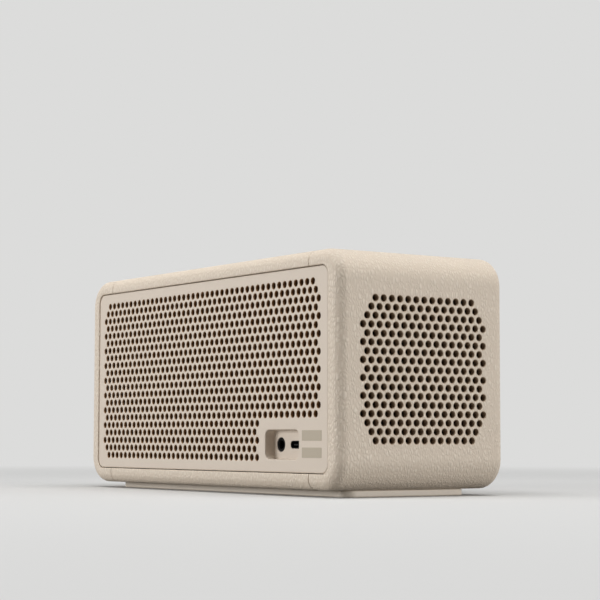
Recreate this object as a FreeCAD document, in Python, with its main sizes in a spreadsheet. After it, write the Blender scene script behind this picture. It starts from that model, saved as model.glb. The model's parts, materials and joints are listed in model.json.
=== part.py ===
import FreeCAD, Part
import math
import os
from types import SimpleNamespace

import Sketcher
from FreeCAD import Placement, Rotation, Vector

# Portable wireless speaker in millimetres, +Z up. The front faces -Y, the sockets are in the rear, +Y.
# The origin is under the middle of the base plate.

doc = FreeCAD.newDocument("portable_speaker")
sheet = doc.addObject("Spreadsheet::Sheet", "Dims")

sheetRows = [
    ("body_width", 230, "over the two end caps"),
    ("body_depth", 93, "front to rear"),
    ("body_height", 106, "without the base plate"),
    ("corner_radius", 13.5, "corners of the front view"),
    ("edge_round", 5, "rounding of the front and rear edges"),
    ("skin_wall", 3, "wall of the end caps and covers"),
    ("cap_length", 23.5, "end cap, along the width"),
    ("seam_gap", 0.2, "between an end cap and a cover"),
    ("base_height", 3, "base plate"),
    ("base_inset", 12.4, "base plate in from the body's sides"),
    ("base_corner", 6, "base plate corners in plan"),
    ("base_round", 0.6, "base plate edges"),
    ("side_border", 9, "body side to grille edge"),
    ("top_border", 7.5, "body top to grille edge"),
    ("grille_corner", 4.5, "grille corners"),
    ("grille_gap", 0.3, "round the grille"),
    ("grille_sink", 0.4, "grille face below the body's face"),
    ("grille_wall", 1.1, "grille plate"),
    ("grille_rim", 2, "standing rim behind the grille"),
    ("grille_round", 0.6, "edge of the grille face"),
    ("hole_pitch", 4.5, "perforation, centre to centre"),
    ("hole_width", 3.1, "perforation, across a hole"),
    ("hole_step", 2.35, "solids draw every hole this much larger and further apart"),
    ("field_margin_x", 5.4, "grille edge to the nearest hole edge, sideways"),
    ("field_margin_z", 5.0, "grille edge to the nearest hole edge, upright"),
    ("side_margin_depth", 11, "body face to the perforated field in an end cap"),
    ("side_margin_height", 20.2, "body top to the perforated field in an end cap"),
    ("cloth_wall", 0.4, "acoustic cloth"),
    ("cloth_gap", 0.15, "between cloth and grille"),
    ("baffle_setback", 5, "body face to baffle face"),
    ("baffle_wall", 3, "baffle plates"),
    ("baffle_gap", 0.3, "baffle edge to the skin"),
    ("cabinet_wall", 3, "sealed cabinet"),
    ("cabinet_side_room", 12, "cabinet side to body side"),
    ("cabinet_top_room", 10, "cabinet top to body top"),
    ("cabinet_base_room", 7, "cabinet underside to body underside"),
    ("cabinet_corner", 6, "cabinet corners in the front view"),
    ("seal_wall", 0.5, "foam seal between cabinet and baffle"),
    ("boss_radius", 4, "screw bosses in the cabinet corners"),
    ("boss_inset", 3.5, "boss centre from the cabinet's inner walls"),
    ("screw_radius", 1.25, "baffle screws"),
    ("screw_length", 10, "shank below the head"),
    ("screw_head_radius", 2.7, "pan head"),
    ("screw_head_height", 1.2, "pan head"),
    ("screw_gap", 0.1, "round a screw"),
    ("rib_width", 3, "ribs under the cabinet"),
    ("rib_spread", 22, "ribs from the middle, front and rear"),
    ("seat_gap", 0.2, "between pieces that rest on each other"),
    ("woofer_offset", 46, "woofer axis from the middle"),
    ("woofer_radius", 39, "woofer flange"),
    ("woofer_opening", 34.5, "opening in the baffle"),
    ("flange_height", 2.2, "woofer flange"),
    ("rim_height", 0.8, "surround rim let into the flange"),
    ("rim_radius", 36, "surround rim"),
    ("basket_depth", 18.5, "flange face to top plate"),
    ("basket_radius", 27.5, "basket at its back"),
    ("basket_wall", 1.5, "basket"),
    ("basket_floor", 2, "basket floor"),
    ("basket_hole", 14, "hole in the basket floor"),
    ("basket_window", 56, "degrees that one basket window spans"),
    ("basket_windows", 4, "windows round the basket"),
    ("basket_shoulder", 0.3, "basket wall outside the surround rim"),
    ("spider_seat", 24, "inner radius of the spider's ledge"),
    ("ledge_height", 1.1, "spider's ledge above the basket floor"),
    ("pole_radius", 9, "pole piece"),
    ("coil_gap", 0.35, "pole to voice coil, and voice coil to top plate"),
    ("coil_wall", 0.6, "former and winding"),
    ("coil_top", 8.6, "voice coil top below the flange face"),
    ("coil_length", 15, "voice coil"),
    ("top_plate_wall", 2.5, "top plate"),
    ("magnet_wall", 8, "magnet ring"),
    ("magnet_radius", 25, "magnet ring"),
    ("magnet_hole", 12.5, "magnet ring"),
    ("yoke_wall", 3, "back plate"),
    ("plate_radius", 24, "top plate and back plate"),
    ("cone_radius", 27, "cone at its rim"),
    ("cone_rim", 2.5, "flat rim of the cone"),
    ("cone_wall", 0.6, "cone paper"),
    ("cone_depth", 9, "rim to neck"),
    ("cone_sink", 1, "cone rim below the flange face"),
    ("roll_wall", 0.6, "rubber of the surround"),
    ("roll_flatness", 0.54, "radius of the woofer roll for its width, over one half"),
    ("cap_radius", 12.5, "dust cap"),
    ("cap_rise", 3.4, "dust cap"),
    ("spider_wall", 0.5, "spider"),
    ("spider_wave", 0.9, "height of a spider corrugation"),
    ("spider_waves", 6, "half corrugations of the spider"),
    ("tweeter_offset", 40, "tweeter axis from the middle"),
    ("tweeter_rise", 6, "tweeter axis above the middle"),
    ("tweeter_radius", 17, "tweeter flange"),
    ("tweeter_opening", 13, "opening in the baffle"),
    ("tweeter_flange", 2, "tweeter flange"),
    ("dome_radius", 7.5, "tweeter dome"),
    ("dome_rise", 3, "tweeter dome"),
    ("dome_wall", 0.4, "tweeter dome"),
    ("dome_lip", 2, "lip of the dome film"),
    ("tweeter_magnet_radius", 11, "tweeter magnet cup"),
    ("tweeter_magnet_depth", 8, "tweeter magnet cup"),
    ("radiator_width", 66, "passive radiator frame, front to rear"),
    ("radiator_height", 74, "passive radiator frame"),
    ("radiator_corner", 15, "passive radiator frame corners"),
    ("radiator_rim", 4, "passive radiator frame rim"),
    ("radiator_frame_wall", 2, "passive radiator frame"),
    ("radiator_roll", 8, "width of the rubber roll"),
    ("roll_height", 4, "height of the rubber roll"),
    ("radiator_plate_wall", 2.5, "weighted plate"),
    ("radiator_sink", 0.4, "roll base above the cabinet side"),
    ("recess_from_end", 45.15, "port recess middle from the left end"),
    ("recess_drop", 33, "port recess below the middle"),
    ("recess_width", 27.3, "port recess"),
    ("recess_height", 13.2, "port recess"),
    ("recess_corner", 3, "port recess corners"),
    ("recess_depth", 4.8, "port recess below the grille face"),
    ("recess_wall", 1.6, "wall of the port recess"),
    ("port_clear_x", 18.1, "plain field beside the recess, from its middle"),
    ("port_clear_z", 11.5, "plain field above the recess, from its middle"),
    ("jack_offset", 7.55, "audio socket from the recess middle, to the right"),
    ("jack_ring", 3.2, "audio socket collar radius"),
    ("jack_bore", 1.8, "audio socket bore radius"),
    ("jack_bore_depth", 13, "audio socket bore"),
    ("jack_width", 9, "audio socket body"),
    ("jack_height", 7, "audio socket body"),
    ("jack_length", 13.5, "audio socket body behind the recess floor"),
    ("port_gap", 0.15, "sockets in the recess floor"),
    ("usb_offset", 4.65, "charging socket from the recess middle, to the left"),
    ("usb_width", 8.94, "charging socket shell"),
    ("usb_height", 3.26, "charging socket shell"),
    ("usb_wall", 0.3, "charging socket shell"),
    ("usb_flat", 0.03, "straight part of the shell's rounded sides"),
    ("usb_length", 8, "charging socket shell"),
    ("tongue_width", 6.6, "contact tongue"),
    ("tongue_height", 0.7, "contact tongue"),
    ("tongue_back", 1, "tongue tip behind the socket mouth"),
    ("port_board_wall", 1.2, "port circuit board"),
    ("port_board_depth", 14, "port circuit board, front to rear"),
    ("port_cover_wall", 1.2, "sealed cover behind the sockets"),
    ("port_cover_depth", 16.5, "sealed cover behind the sockets"),
    ("port_cover_room", 0.3, "baffle opening to the cover's inner wall"),
    ("board_wall", 1.6, "main board"),
    ("board_depth", 60, "main board, front to rear"),
    ("rail_height", 5, "rails that hold the main board"),
    ("rail_wall", 2, "rails that hold the main board"),
    ("chip_width", 9, "amplifier chip"),
    ("chip_height", 1.4, "amplifier chip"),
    ("chip_spread", 18, "chips from the middle, front and rear, and above the chokes"),
    ("choke_radius", 5, "output choke"),
    ("choke_height", 4.5, "output choke"),
    ("cell_radius", 9.25, "battery cell"),
    ("cell_length", 65.2, "battery cell"),
    ("cell_gap", 0.3, "round a battery cell"),
    ("tray_wall", 1.5, "battery tray"),
    ("tray_start", 16, "battery tray from the middle"),
    ("tray_setback", 1, "battery tray from the front baffle"),
    ("tray_height", 12, "battery tray"),
    ("panel_board_length", 172, "control board"),
    ("panel_board_width", 26, "control board"),
    ("panel_board_wall", 1.2, "control board"),
    ("panel_board_lift", 2, "control board above the cabinet"),
    ("standoff_radius", 2.5, "control board standoffs"),
    ("knob_radius", 8, "control knob"),
    ("knob_height", 4, "control knob"),
    ("knob_round", 1.2, "top edge of the knob"),
    ("knob_lift", 1.7, "knob above the floor of its well"),
    ("knob_top_wall", 1, "knob top over its socket"),
    ("knob_travel_room", 0.8, "stem end to the knob's socket"),
    ("well_radius", 10.5, "well round the knob"),
    ("well_depth", 1.4, "well round the knob"),
    ("stem_radius", 3, "knob stem"),
    ("stem_hole", 5, "hole for the stem"),
    ("stem_gap", 0.05, "stem in the knob"),
    ("pivot_lift", 1.5, "pivots above the control board"),
    ("pivot_radius", 0.6, "gimbal pins"),
    ("pivot_gap", 0.05, "round the gimbal pins"),
    ("gimbal_width", 9.6, "gimbal ring"),
    ("gimbal_rim", 1.4, "gimbal ring"),
    ("gimbal_wall", 1.6, "gimbal ring"),
    ("gimbal_room", 0.4, "gimbal ring to its posts"),
    ("post_wall", 2, "posts of the gimbal"),
    ("stem_foot", 5.2, "square foot of the stem"),
    ("rocker_length", 24, "rocker button"),
    ("rocker_width", 8, "rocker button"),
    ("rocker_proud", 0.4, "buttons above the top cover"),
    ("button_round", 0.8, "top edge of the rockers and the button"),
    ("rocker_gap", 0.5, "round a rocker button"),
    ("button_lip", 1.2, "lip that holds a button under the cover"),
    ("lip_height", 1.2, "lip that holds a button under the cover"),
    ("lip_room", 0.8, "button lip below the cover"),
    ("fulcrum_radius", 1, "rocker pivot bar"),
    ("bass_x", 40, "bass rocker left of the knob"),
    ("treble_x", 70, "treble rocker left of the knob"),
    ("pair_x", 34, "pairing button right of the knob"),
    ("button_radius", 4.5, "pairing button"),
    ("button_gap", 0.3, "round the pairing button"),
    ("light_x", 64, "charge light right of the knob"),
    ("light_length", 24, "charge light"),
    ("light_width", 2.6, "charge light"),
    ("light_gap", 0.1, "round the charge light"),
    ("light_depth", 5, "charge light"),
]


def number(value):
    return value.value if isinstance(value, Size) else float(value)


def words(value):
    return value.text if isinstance(value, Size) else repr(value)


class Size:
    # A length worked out from the sheet: its value now, and the expression that keeps it bound
    def __init__(self, value, text):
        self.value = value
        self.text = text

    def __add__(self, other):
        return Size(self.value + number(other), f"({self.text} + {words(other)})")

    def __sub__(self, other):
        return Size(self.value - number(other), f"({self.text} - {words(other)})")

    def __mul__(self, other):
        return Size(self.value * number(other), f"({self.text} * {words(other)})")

    def __truediv__(self, other):
        return Size(self.value / number(other), f"({self.text} / {words(other)})")

    def __neg__(self):
        return Size(-self.value, f"(0 - {self.text})")


d = SimpleNamespace()
for row, (alias, value, note) in enumerate(sheetRows, 1):
    sheet.set(f"A{row}", note)
    sheet.set(f"B{row}", str(value))
    sheet.setAlias(f"B{row}", alias)
    setattr(d, alias, Size(value, f"Dims.{alias}"))
doc.recompute()

# Local +Z of a turned piece points into the body from the front or rear, or out of it at an end
turns = {
    "up": Rotation(),
    "from_rear": Rotation(Vector(1, 0, 0), 90),
    "from_front": Rotation(Vector(0, 0, 1), 180) * Rotation(Vector(1, 0, 0), 90),
    "out_right": Rotation(Vector(1, 1, 1), 120),
    "out_left": Rotation(Vector(0, 0, 1), 180) * Rotation(Vector(1, 1, 1), 120),
}

# Shared places
half_width = d.body_width / 2
half_depth = d.body_depth / 2
half_height = d.body_height / 2
middle = d.base_height + half_height
body_top = d.base_height + d.body_height
under_top = body_top - d.skin_wall
grille_half_width = half_width - d.side_border
grille_half_height = half_height - d.top_border
grille_face = half_depth - d.grille_sink
grille_back = grille_face - d.grille_wall
baffle_face = half_depth - d.baffle_setback
baffle_back = baffle_face - d.baffle_wall
cabinet_end = baffle_back - d.seal_wall
cabinet_side = half_width - d.cabinet_side_room
cabinet_low = d.cabinet_base_room - half_height
cabinet_high = half_height - d.cabinet_top_room
cabinet_floor = middle + cabinet_low + d.cabinet_wall
cabinet_roof = middle + cabinet_high
boss_x = cabinet_side - d.cabinet_wall - d.boss_inset
boss_low = cabinet_low + d.cabinet_wall + d.boss_inset
boss_high = cabinet_high - d.cabinet_wall - d.boss_inset
seam = half_width - d.cap_length
board_top = cabinet_roof + d.panel_board_lift + d.panel_board_wall
pivot = board_top + d.pivot_lift
side_field_depth = d.body_depth - d.side_margin_depth * 2
side_field_height = d.body_height - d.side_margin_height * 2
recess_middle = half_width - d.recess_from_end
button_top = body_top + d.rocker_proud
lip_top = under_top - d.lip_room
lip_base = lip_top - d.lip_height
recess_floor = grille_face - d.recess_depth
recess_back = recess_floor - d.recess_wall
port_height = middle - d.recess_drop
jack_x = d.jack_offset - recess_middle
usb_x = -(d.usb_offset + recess_middle)


def bind(obj, name, value):
    obj.setExpression(name, words(value))


def place(obj, turn, at):
    obj.Placement = Placement(Vector(*[number(value) for value in at]), turns[turn])
    for axis, value in zip("xyz", at):
        if isinstance(value, Size):
            bind(obj, f"Placement.Base.{axis}", value)


def box(name, xs, ys, zs):
    obj = doc.addObject("Part::Box", name)
    for side, (low, high) in zip(("Length", "Width", "Height"), (xs, ys, zs)):
        bind(obj, side, Size(0, "0") + high - low)
    place(obj, "up", (xs[0], ys[0], zs[0]))
    return obj


def rod(name, radius, length, at, turn="up"):
    obj = doc.addObject("Part::Cylinder", name)
    bind(obj, "Radius", radius)
    bind(obj, "Height", length)
    place(obj, turn, at)
    return obj


def fuse(name, *pieces):
    obj = doc.addObject("Part::MultiFuse", name)
    obj.Shapes = list(pieces)
    return obj


def cut(name, base, *tools):
    obj = doc.addObject("Part::Cut", name)
    obj.Base = base
    obj.Tool = tools[0] if len(tools) == 1 else fuse(name + "_tools", *tools)
    return obj


def group(name, *pieces):
    obj = doc.addObject("Part::Compound", name)
    obj.Links = list(pieces)
    return obj


def common(name, base, tool):
    obj = doc.addObject("Part::Common", name)
    obj.Base = base
    obj.Tool = tool
    return obj


def rounded(half_x, half_y, radius, x=0, y=0):
    # Rounded rectangle about x, y. A third value is the radius of the arc that ends at that point
    left, right = Size(0, "0") + x - half_x, Size(0, "0") + x + half_x
    low, high = Size(0, "0") + y - half_y, Size(0, "0") + y + half_y
    return [
        (left + radius, low, radius),
        (right - radius, low),
        (right, low + radius, radius),
        (right, high - radius),
        (right - radius, high, radius),
        (left + radius, high),
        (left, high - radius, radius),
        (left, low + radius),
    ]


def arc_between(start, end, radius):
    # Arc to the left of the way from start to end, or to the right where radius is negative
    chord = end - start
    middle_point = (start + end) * 0.5
    reach = math.sqrt(max(radius**2 - (chord.Length / 2) ** 2, 0))
    side = Vector(-chord.y, chord.x, 0).normalize() * math.copysign(reach, radius)
    centre = middle_point + side
    first, last = (start, end) if radius > 0 else (end, start)
    angles = [math.atan2(point.y - centre.y, point.x - centre.x) for point in (first, last)]
    return Part.ArcOfCircle(Part.Circle(centre, Vector(0, 0, 1), abs(radius)), *angles)


def fix(sketch, geometry, point, x, y):
    for kind, value, axis in (("DistanceX", x, -2), ("DistanceY", y, -1)):
        if not isinstance(value, Size) and value == 0:
            sketch.addConstraint(Sketcher.Constraint("PointOnObject", geometry, point, axis))
            continue
        index = sketch.addConstraint(Sketcher.Constraint(kind, -1, 1, geometry, point, number(value)))
        bind(sketch, f"Constraints[{index}]", value)


def draw(sketch, loop):
    # Closed line of straight runs and arcs, with every corner bound to the sheet
    if loop[0] == "circle":
        _, x, y, radius = loop
        centre = Vector(number(x), number(y), 0)
        geometry = sketch.addGeometry(Part.Circle(centre, Vector(0, 0, 1), number(radius)))
        index = sketch.addConstraint(Sketcher.Constraint("Radius", geometry, number(radius)))
        bind(sketch, f"Constraints[{index}]", radius)
        fix(sketch, geometry, 3, x, y)
        return
    points = [Vector(number(corner[0]), number(corner[1]), 0) for corner in loop]
    ends = []
    for index, corner in enumerate(loop):
        start, end = points[index - 1], points[index]
        radius = corner[2] if len(corner) > 2 else None
        if radius is None:
            geometry = sketch.addGeometry(Part.LineSegment(start, end))
            ends.append((geometry, 1, 2))
            continue
        geometry = sketch.addGeometry(arc_between(start, end, number(radius)))
        ends.append((geometry, 1, 2) if number(radius) > 0 else (geometry, 2, 1))
        name = sketch.addConstraint(Sketcher.Constraint("Radius", geometry, abs(number(radius))))
        bind(sketch, f"Constraints[{name}]", radius if number(radius) > 0 else -radius)
    for index, (geometry, _, end) in enumerate(ends):
        following, start, _ = ends[(index + 1) % len(ends)]
        sketch.addConstraint(Sketcher.Constraint("Coincident", geometry, end, following, start))
        fix(sketch, geometry, end, loop[index][0], loop[index][1])


def body_with(name, plane, loops, turn, at):
    body = doc.addObject("PartDesign::Body", name)
    place(body, turn, at)
    sketch = body.newObject("Sketcher::SketchObject", name + "_sketch")
    support = next(feature for feature in body.Origin.OriginFeatures if feature.Role == plane)
    sketch.AttachmentSupport = [(support, "")]
    sketch.MapMode = "FlatFace"
    for loop in loops:
        draw(sketch, loop)
    return body, sketch


def pad(name, loops, depth, turn="up", at=(0, 0, 0)):
    body, sketch = body_with(name, "XY_Plane", loops, turn, at)
    feature = body.newObject("PartDesign::Pad", name + "_pad")
    feature.Profile = sketch
    bind(feature, "Length", depth)
    return body


def spin(name, loop, turn, at):
    body, sketch = body_with(name, "XZ_Plane", [loop], turn, at)
    feature = body.newObject("PartDesign::Revolution", name + "_turned")
    feature.Profile = sketch
    feature.ReferenceAxis = (sketch, ["V_Axis"])
    return body


def round_edges(body, radius, chosen):
    # Fillets the edges that chosen accepts, by the heights of their ends along the pad
    doc.recompute()
    last = body.Tip
    edges = [
        f"Edge{index}"
        for index, edge in enumerate(last.Shape.Edges, 1)
        if chosen([vertex.Z for vertex in edge.Vertexes])
    ]
    feature = body.newObject("PartDesign::Fillet", body.Name + "_round")
    feature.Base = (last, edges)
    bind(feature, "Radius", radius)
    return body


def level(zs, height):
    return all(abs(z - number(height)) < 1e-6 for z in zs)


def grid(half_x, half_y, keep):
    # Centres of a hexagonal pattern of holes inside a field, middle row through the middle
    step = number(d.hole_pitch) * number(d.hole_step)
    rise = step * math.sqrt(3) / 2
    reach = number(d.hole_width) * number(d.hole_step) / 2
    rows = int((half_y - reach) / rise + 1e-6)
    for row in range(-rows, rows + 1):
        shift = step / 2 if row % 2 else 0
        columns = int((half_x - reach - shift) / step + 1e-6)
        first = -columns - 1 if row % 2 else -columns
        for column in range(first, columns + 1):
            x, y = column * step + shift, row * rise
            if keep(x, y, reach):
                yield Vector(x, y, 0)


def perforation(name, half_x, half_y, depth, turn, at, keep=lambda x, y, reach: True):
    # Six-sided holes, extruded along the turned piece's own axis
    reach = number(d.hole_width) * number(d.hole_step) / 2
    spokes = [Vector(math.sin(i * math.pi / 3), math.cos(i * math.pi / 3), 0) * reach for i in range(7)]
    holes = [
        Part.Face(Part.makePolygon([centre + spoke for spoke in spokes]))
        for centre in grid(number(half_x), number(half_y), keep)
    ]
    pattern = doc.addObject("Part::Feature", name + "_pattern")
    pattern.Shape = Part.makeCompound(holes)
    place(pattern, turn, at)
    tool = doc.addObject("Part::Extrusion", name)
    tool.Base = pattern
    tool.DirMode = "Custom"
    tool.Dir = turns[turn].multVec(Vector(0, 0, 1))
    tool.Solid = True
    bind(tool, "LengthFwd", depth)
    return tool


nodes = []


def node(obj, label):
    obj.Label = label
    nodes.append(obj)
    return obj


def bar(name, inset):
    # Rounded bar of the whole body, set in by inset all round
    outline = rounded(half_width - inset, half_height - inset, d.corner_radius - inset)
    depth = d.body_depth - inset * 2
    body = pad(name, [outline], depth, "from_rear", (0, half_depth - inset, middle))
    return round_edges(body, d.edge_round - inset, lambda zs: level(zs, 0) or level(zs, depth))


def skin():
    # End caps, top cover and bottom cover: one thin shell, parted at the two seams
    outer = bar("skin_outer", Size(0, "0"))
    inner = bar("skin_inner", d.skin_wall)
    window = rounded(
        grille_half_width + d.grille_gap, grille_half_height + d.grille_gap, d.grille_corner + d.grille_gap
    )
    through = pad("skin_window", [window], d.body_depth, "from_rear", (0, half_depth, middle))
    shell = cut("skin_shell", outer, inner, through)
    edge = seam + d.seam_gap / 2
    cover_edge = seam - d.seam_gap / 2
    depth = (-half_depth, half_depth)
    field = (side_field_depth / 2, side_field_height / 2)
    start = half_width - d.skin_wall
    for side, xs, turn, at in (
        ("right", (edge, half_width), "out_right", (start, 0, middle)),
        ("left", (-half_width, -edge), "out_left", (-start, 0, middle)),
    ):
        room = box(f"{side}_cap_room", xs, depth, (d.base_height, body_top))
        blank = common(f"{side}_cap_blank", shell, room)
        holes = perforation(f"{side}_cap_holes", *field, d.skin_wall, turn, at)
        node(cut(f"{side}_end_cap_cut", blank, holes), f"{side}_end_cap")
    xs = (-cover_edge, cover_edge)
    top = common("top_blank", shell, box("top_room", xs, depth, (middle, body_top)))
    node(cut("top_cover_cut", top, *control_openings()), "top_cover")
    bottom = common("bottom_blank", shell, box("bottom_room", xs, depth, (d.base_height, middle)))
    ribs = []
    for name, y in (("rib_front", -d.rib_spread), ("rib_rear", d.rib_spread)):
        ys = (y - d.rib_width / 2, y + d.rib_width / 2)
        zs = (d.base_height + d.skin_wall, d.base_height + d.cabinet_base_room - d.seat_gap)
        ribs.append(box(name, xs, ys, zs))
    node(fuse("bottom_cover_fused", bottom, *ribs), "bottom_cover")


def control_openings():
    # Cuts for the knob, the rockers, the pairing button and the charge light
    floor = body_top - d.well_depth
    well = rod("knob_well", d.well_radius, d.well_depth, (0, 0, floor))
    hole = rod("stem_hole_cut", d.stem_hole, d.skin_wall, (0, 0, under_top))
    cuts = [well, hole]
    for name, x in (("bass_slot", -d.bass_x), ("treble_slot", -d.treble_x)):
        half = d.rocker_width / 2 + d.rocker_gap
        slot = rounded(d.rocker_length / 2 + d.rocker_gap, half, half - d.seam_gap)
        cuts.append(pad(name, [slot], d.skin_wall, "up", (x, 0, under_top)))
    cuts.append(rod("pair_hole", d.button_radius + d.button_gap, d.skin_wall, (d.pair_x, 0, under_top)))
    half = d.light_width / 2 + d.light_gap
    slot = rounded(d.light_length / 2 + d.light_gap, half, half - d.light_gap)
    cuts.append(pad("light_slot", [slot], d.skin_wall, "up", (d.light_x, 0, under_top)))
    return cuts


def base_plate():
    outline = rounded(half_width - d.base_inset, half_depth - d.base_inset, d.base_corner)
    slab = pad("base_plate", [outline], d.base_height)
    round_edges(slab, d.base_round, lambda zs: level(zs, 0) or level(zs, d.base_height))
    node(slab, "base_plate")


def grille_blank(side, turn, sign):
    # Plate with a standing rim that seats on the baffle
    outline = rounded(grille_half_width, grille_half_height, d.grille_corner)
    rim = d.grille_rim
    inside = rounded(grille_half_width - rim, grille_half_height - rim, d.grille_corner - rim)
    plate = pad(f"{side}_plate", [outline], d.grille_wall, turn, (0, grille_face * sign, middle))
    round_edges(plate, d.grille_round, lambda zs: level(zs, 0))
    rim_height = grille_back - baffle_face
    standing = pad(f"{side}_rim", [outline, inside], rim_height, turn, (0, grille_back * sign, middle))
    return [plate, standing]


def grille_holes(side, turn, sign, keep):
    half_x = grille_half_width - d.field_margin_x
    half_y = grille_half_height - d.field_margin_z
    at = (0, grille_face * sign, middle)
    return perforation(f"{side}_holes", half_x, half_y, d.grille_wall, turn, at, keep)


def front_grille():
    blank = fuse("front_grille_fused", *grille_blank("front_grille", "from_front", -1))
    holes = grille_holes("front_grille", "from_front", -1, lambda x, y, reach: True)
    node(cut("front_grille_cut", blank, holes), "front_grille")


def beside_port(x, y, reach):
    right = number(d.port_clear_x) - number(recess_middle)
    high = number(d.port_clear_z) - number(d.recess_drop)
    return x - reach > right or y - reach > high


def rear_grille():
    # The rear grille is moulded with the port recess
    x, y = -recess_middle, -d.recess_drop
    wall, gap = d.recess_wall, d.port_gap
    recess = rounded(d.recess_width / 2, d.recess_height / 2, d.recess_corner, x, y)
    outside = rounded(d.recess_width / 2 + wall, d.recess_height / 2 + wall, d.recess_corner + wall, x, y)
    cup = pad("recess_cup", [outside], grille_back - recess_back, "from_rear", (0, grille_back, middle))
    hollow = pad("recess_hollow", [recess], d.recess_depth, "from_rear", (0, grille_face, middle))
    collar_at = (jack_x, recess_floor, port_height)
    collar = rod("jack_hole", d.jack_ring + gap, wall, collar_at, "from_rear")
    mouth = rounded(d.usb_width / 2 + gap, d.usb_height / 2 + gap, d.usb_height / 2, usb_x, y)
    slot = pad("usb_slot", [mouth], wall, "from_rear", (0, recess_floor, middle))
    blank = fuse("rear_grille_fused", *grille_blank("rear_grille", "from_rear", 1), cup)
    with_port = cut("rear_grille_port", blank, hollow, collar, slot)
    holes = grille_holes("rear_grille", "from_rear", 1, beside_port)
    node(cut("rear_grille_cut", with_port, holes), "rear_grille")


def cloths():
    # Black acoustic cloth behind every perforated wall
    rim = d.grille_rim + d.seat_gap
    outline = rounded(grille_half_width - rim, grille_half_height - rim, d.grille_corner - d.grille_rim)
    start = grille_back - d.cloth_gap
    front = pad("front_cloth", [outline], d.cloth_wall, "from_front", (0, -start, middle))
    node(front, "front_grille_cloth")
    port = port_window(d.seat_gap)
    rear = pad("rear_cloth", [outline, port], d.cloth_wall, "from_rear", (0, start, middle))
    node(rear, "rear_grille_cloth")
    margin = d.grille_rim
    patch = rounded(side_field_depth / 2 + margin, side_field_height / 2 + margin, d.grille_corner)
    inner = half_width - d.skin_wall - d.cloth_gap - d.cloth_wall
    right = pad("right_cloth", [patch], d.cloth_wall, "out_right", (inner, 0, middle))
    left = pad("left_cloth", [patch], d.cloth_wall, "out_left", (-inner, 0, middle))
    node(group("cap_cloth_group", right, left), "end_cap_cloths")


def screw_places():
    return [(x, y) for x in (-boss_x, boss_x) for y in (boss_low, boss_high)]


def port_window(extra):
    wall = d.recess_wall + extra
    return rounded(
        d.recess_width / 2 + wall,
        d.recess_height / 2 + wall,
        d.recess_corner + d.recess_wall,
        -recess_middle,
        -d.recess_drop,
    )


def baffles():
    inset = d.skin_wall + d.baffle_gap
    outline = rounded(half_width - inset, half_height - inset, d.corner_radius - inset)
    shared = [
        outline,
        ("circle", d.woofer_offset, 0, d.woofer_opening),
        ("circle", -d.tweeter_offset, d.tweeter_rise, d.tweeter_opening),
    ] + [("circle", x, y, d.screw_radius + d.screw_gap) for x, y in screw_places()]
    front = pad("front_baffle", shared, d.baffle_wall, "from_front", (0, -baffle_face, middle))
    node(front, "front_baffle")
    opening = port_window(d.baffle_gap)
    rear = pad("rear_baffle", shared + [opening], d.baffle_wall, "from_rear", (0, baffle_face, middle))
    node(rear, "rear_baffle")


def cabinet_ring(inset):
    half_tall = (cabinet_high - cabinet_low) / 2 - inset
    centre = (cabinet_high + cabinet_low) / 2
    return rounded(cabinet_side - inset, half_tall, d.cabinet_corner - inset, 0, centre)


def cabinet():
    # Sealed tube between the baffles, with bosses, board rails, radiator openings and standoffs
    loops = [cabinet_ring(Size(0, "0")), cabinet_ring(d.cabinet_wall)]
    tube = pad("cabinet_tube", loops, cabinet_end * 2, "from_rear", (0, cabinet_end, middle))
    added, removed = [], []
    for index, (x, y) in enumerate(screw_places()):
        at = (x, cabinet_end, middle + y)
        bore = d.screw_radius + d.screw_gap
        added.append(rod(f"boss_{index}", d.boss_radius, cabinet_end * 2, at, "from_rear"))
        removed.append(rod(f"boss_bore_{index}", bore, cabinet_end * 2, at, "from_rear"))
    rail_start = d.board_wall / 2 + d.seat_gap
    floor_rail = (cabinet_floor, cabinet_floor + d.rail_height)
    roof_rail = (cabinet_roof - d.cabinet_wall - d.rail_height, cabinet_roof - d.cabinet_wall)
    half = d.board_depth / 2
    for name, zs in (("floor_rail", floor_rail), ("roof_rail", roof_rail)):
        right = (rail_start, rail_start + d.rail_wall)
        left = (-rail_start - d.rail_wall, -rail_start)
        added.append(box(f"{name}_right", right, (-half, half), zs))
        added.append(box(f"{name}_left", left, (-half, half), zs))
    for index, x in enumerate((-1, 1)):
        reach = d.panel_board_length / 2 - d.standoff_radius * 2
        at = (reach * x, 0, cabinet_roof)
        added.append(rod(f"standoff_{index}", d.standoff_radius, d.panel_board_lift, at))
    added.append(rod("standoff_middle", d.standoff_radius, d.panel_board_lift, (0, 0, cabinet_roof)))
    rim = d.radiator_rim
    opening = rounded(d.radiator_width / 2 - rim, d.radiator_height / 2 - rim, d.radiator_corner - rim)
    removed.append(pad("radiator_opening", [opening], d.body_width, "out_right", (-half_width, 0, middle)))
    whole = fuse("cabinet_fused", tube, *added)
    node(cut("cabinet_cut", whole, *removed), "cabinet")


def seals():
    loops = [cabinet_ring(Size(0, "0")), cabinet_ring(d.cabinet_wall)]
    front = pad("front_seal", loops, d.seal_wall, "from_rear", (0, -cabinet_end, middle))
    rear = pad("rear_seal", loops, d.seal_wall, "from_rear", (0, baffle_back, middle))
    node(group("seal_group", front, rear), "cabinet_seals")


def baffle_screws():
    # Eight equal pan head screws
    profile = [
        (0, -d.screw_head_height),
        (d.screw_head_radius, -d.screw_head_height),
        (d.screw_head_radius, 0),
        (d.screw_radius, 0),
        (d.screw_radius, d.screw_length),
        (0, d.screw_length),
    ]
    screws = []
    for side, turn, sign in (("front", "from_front", -1), ("rear", "from_rear", 1)):
        for index, (x, y) in enumerate(screw_places()):
            screws.append(spin(f"{side}_screw_{index}", profile, turn, (x, baffle_face * sign, middle + y)))
    node(group("screw_group", *screws), "baffle_screws")


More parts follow.
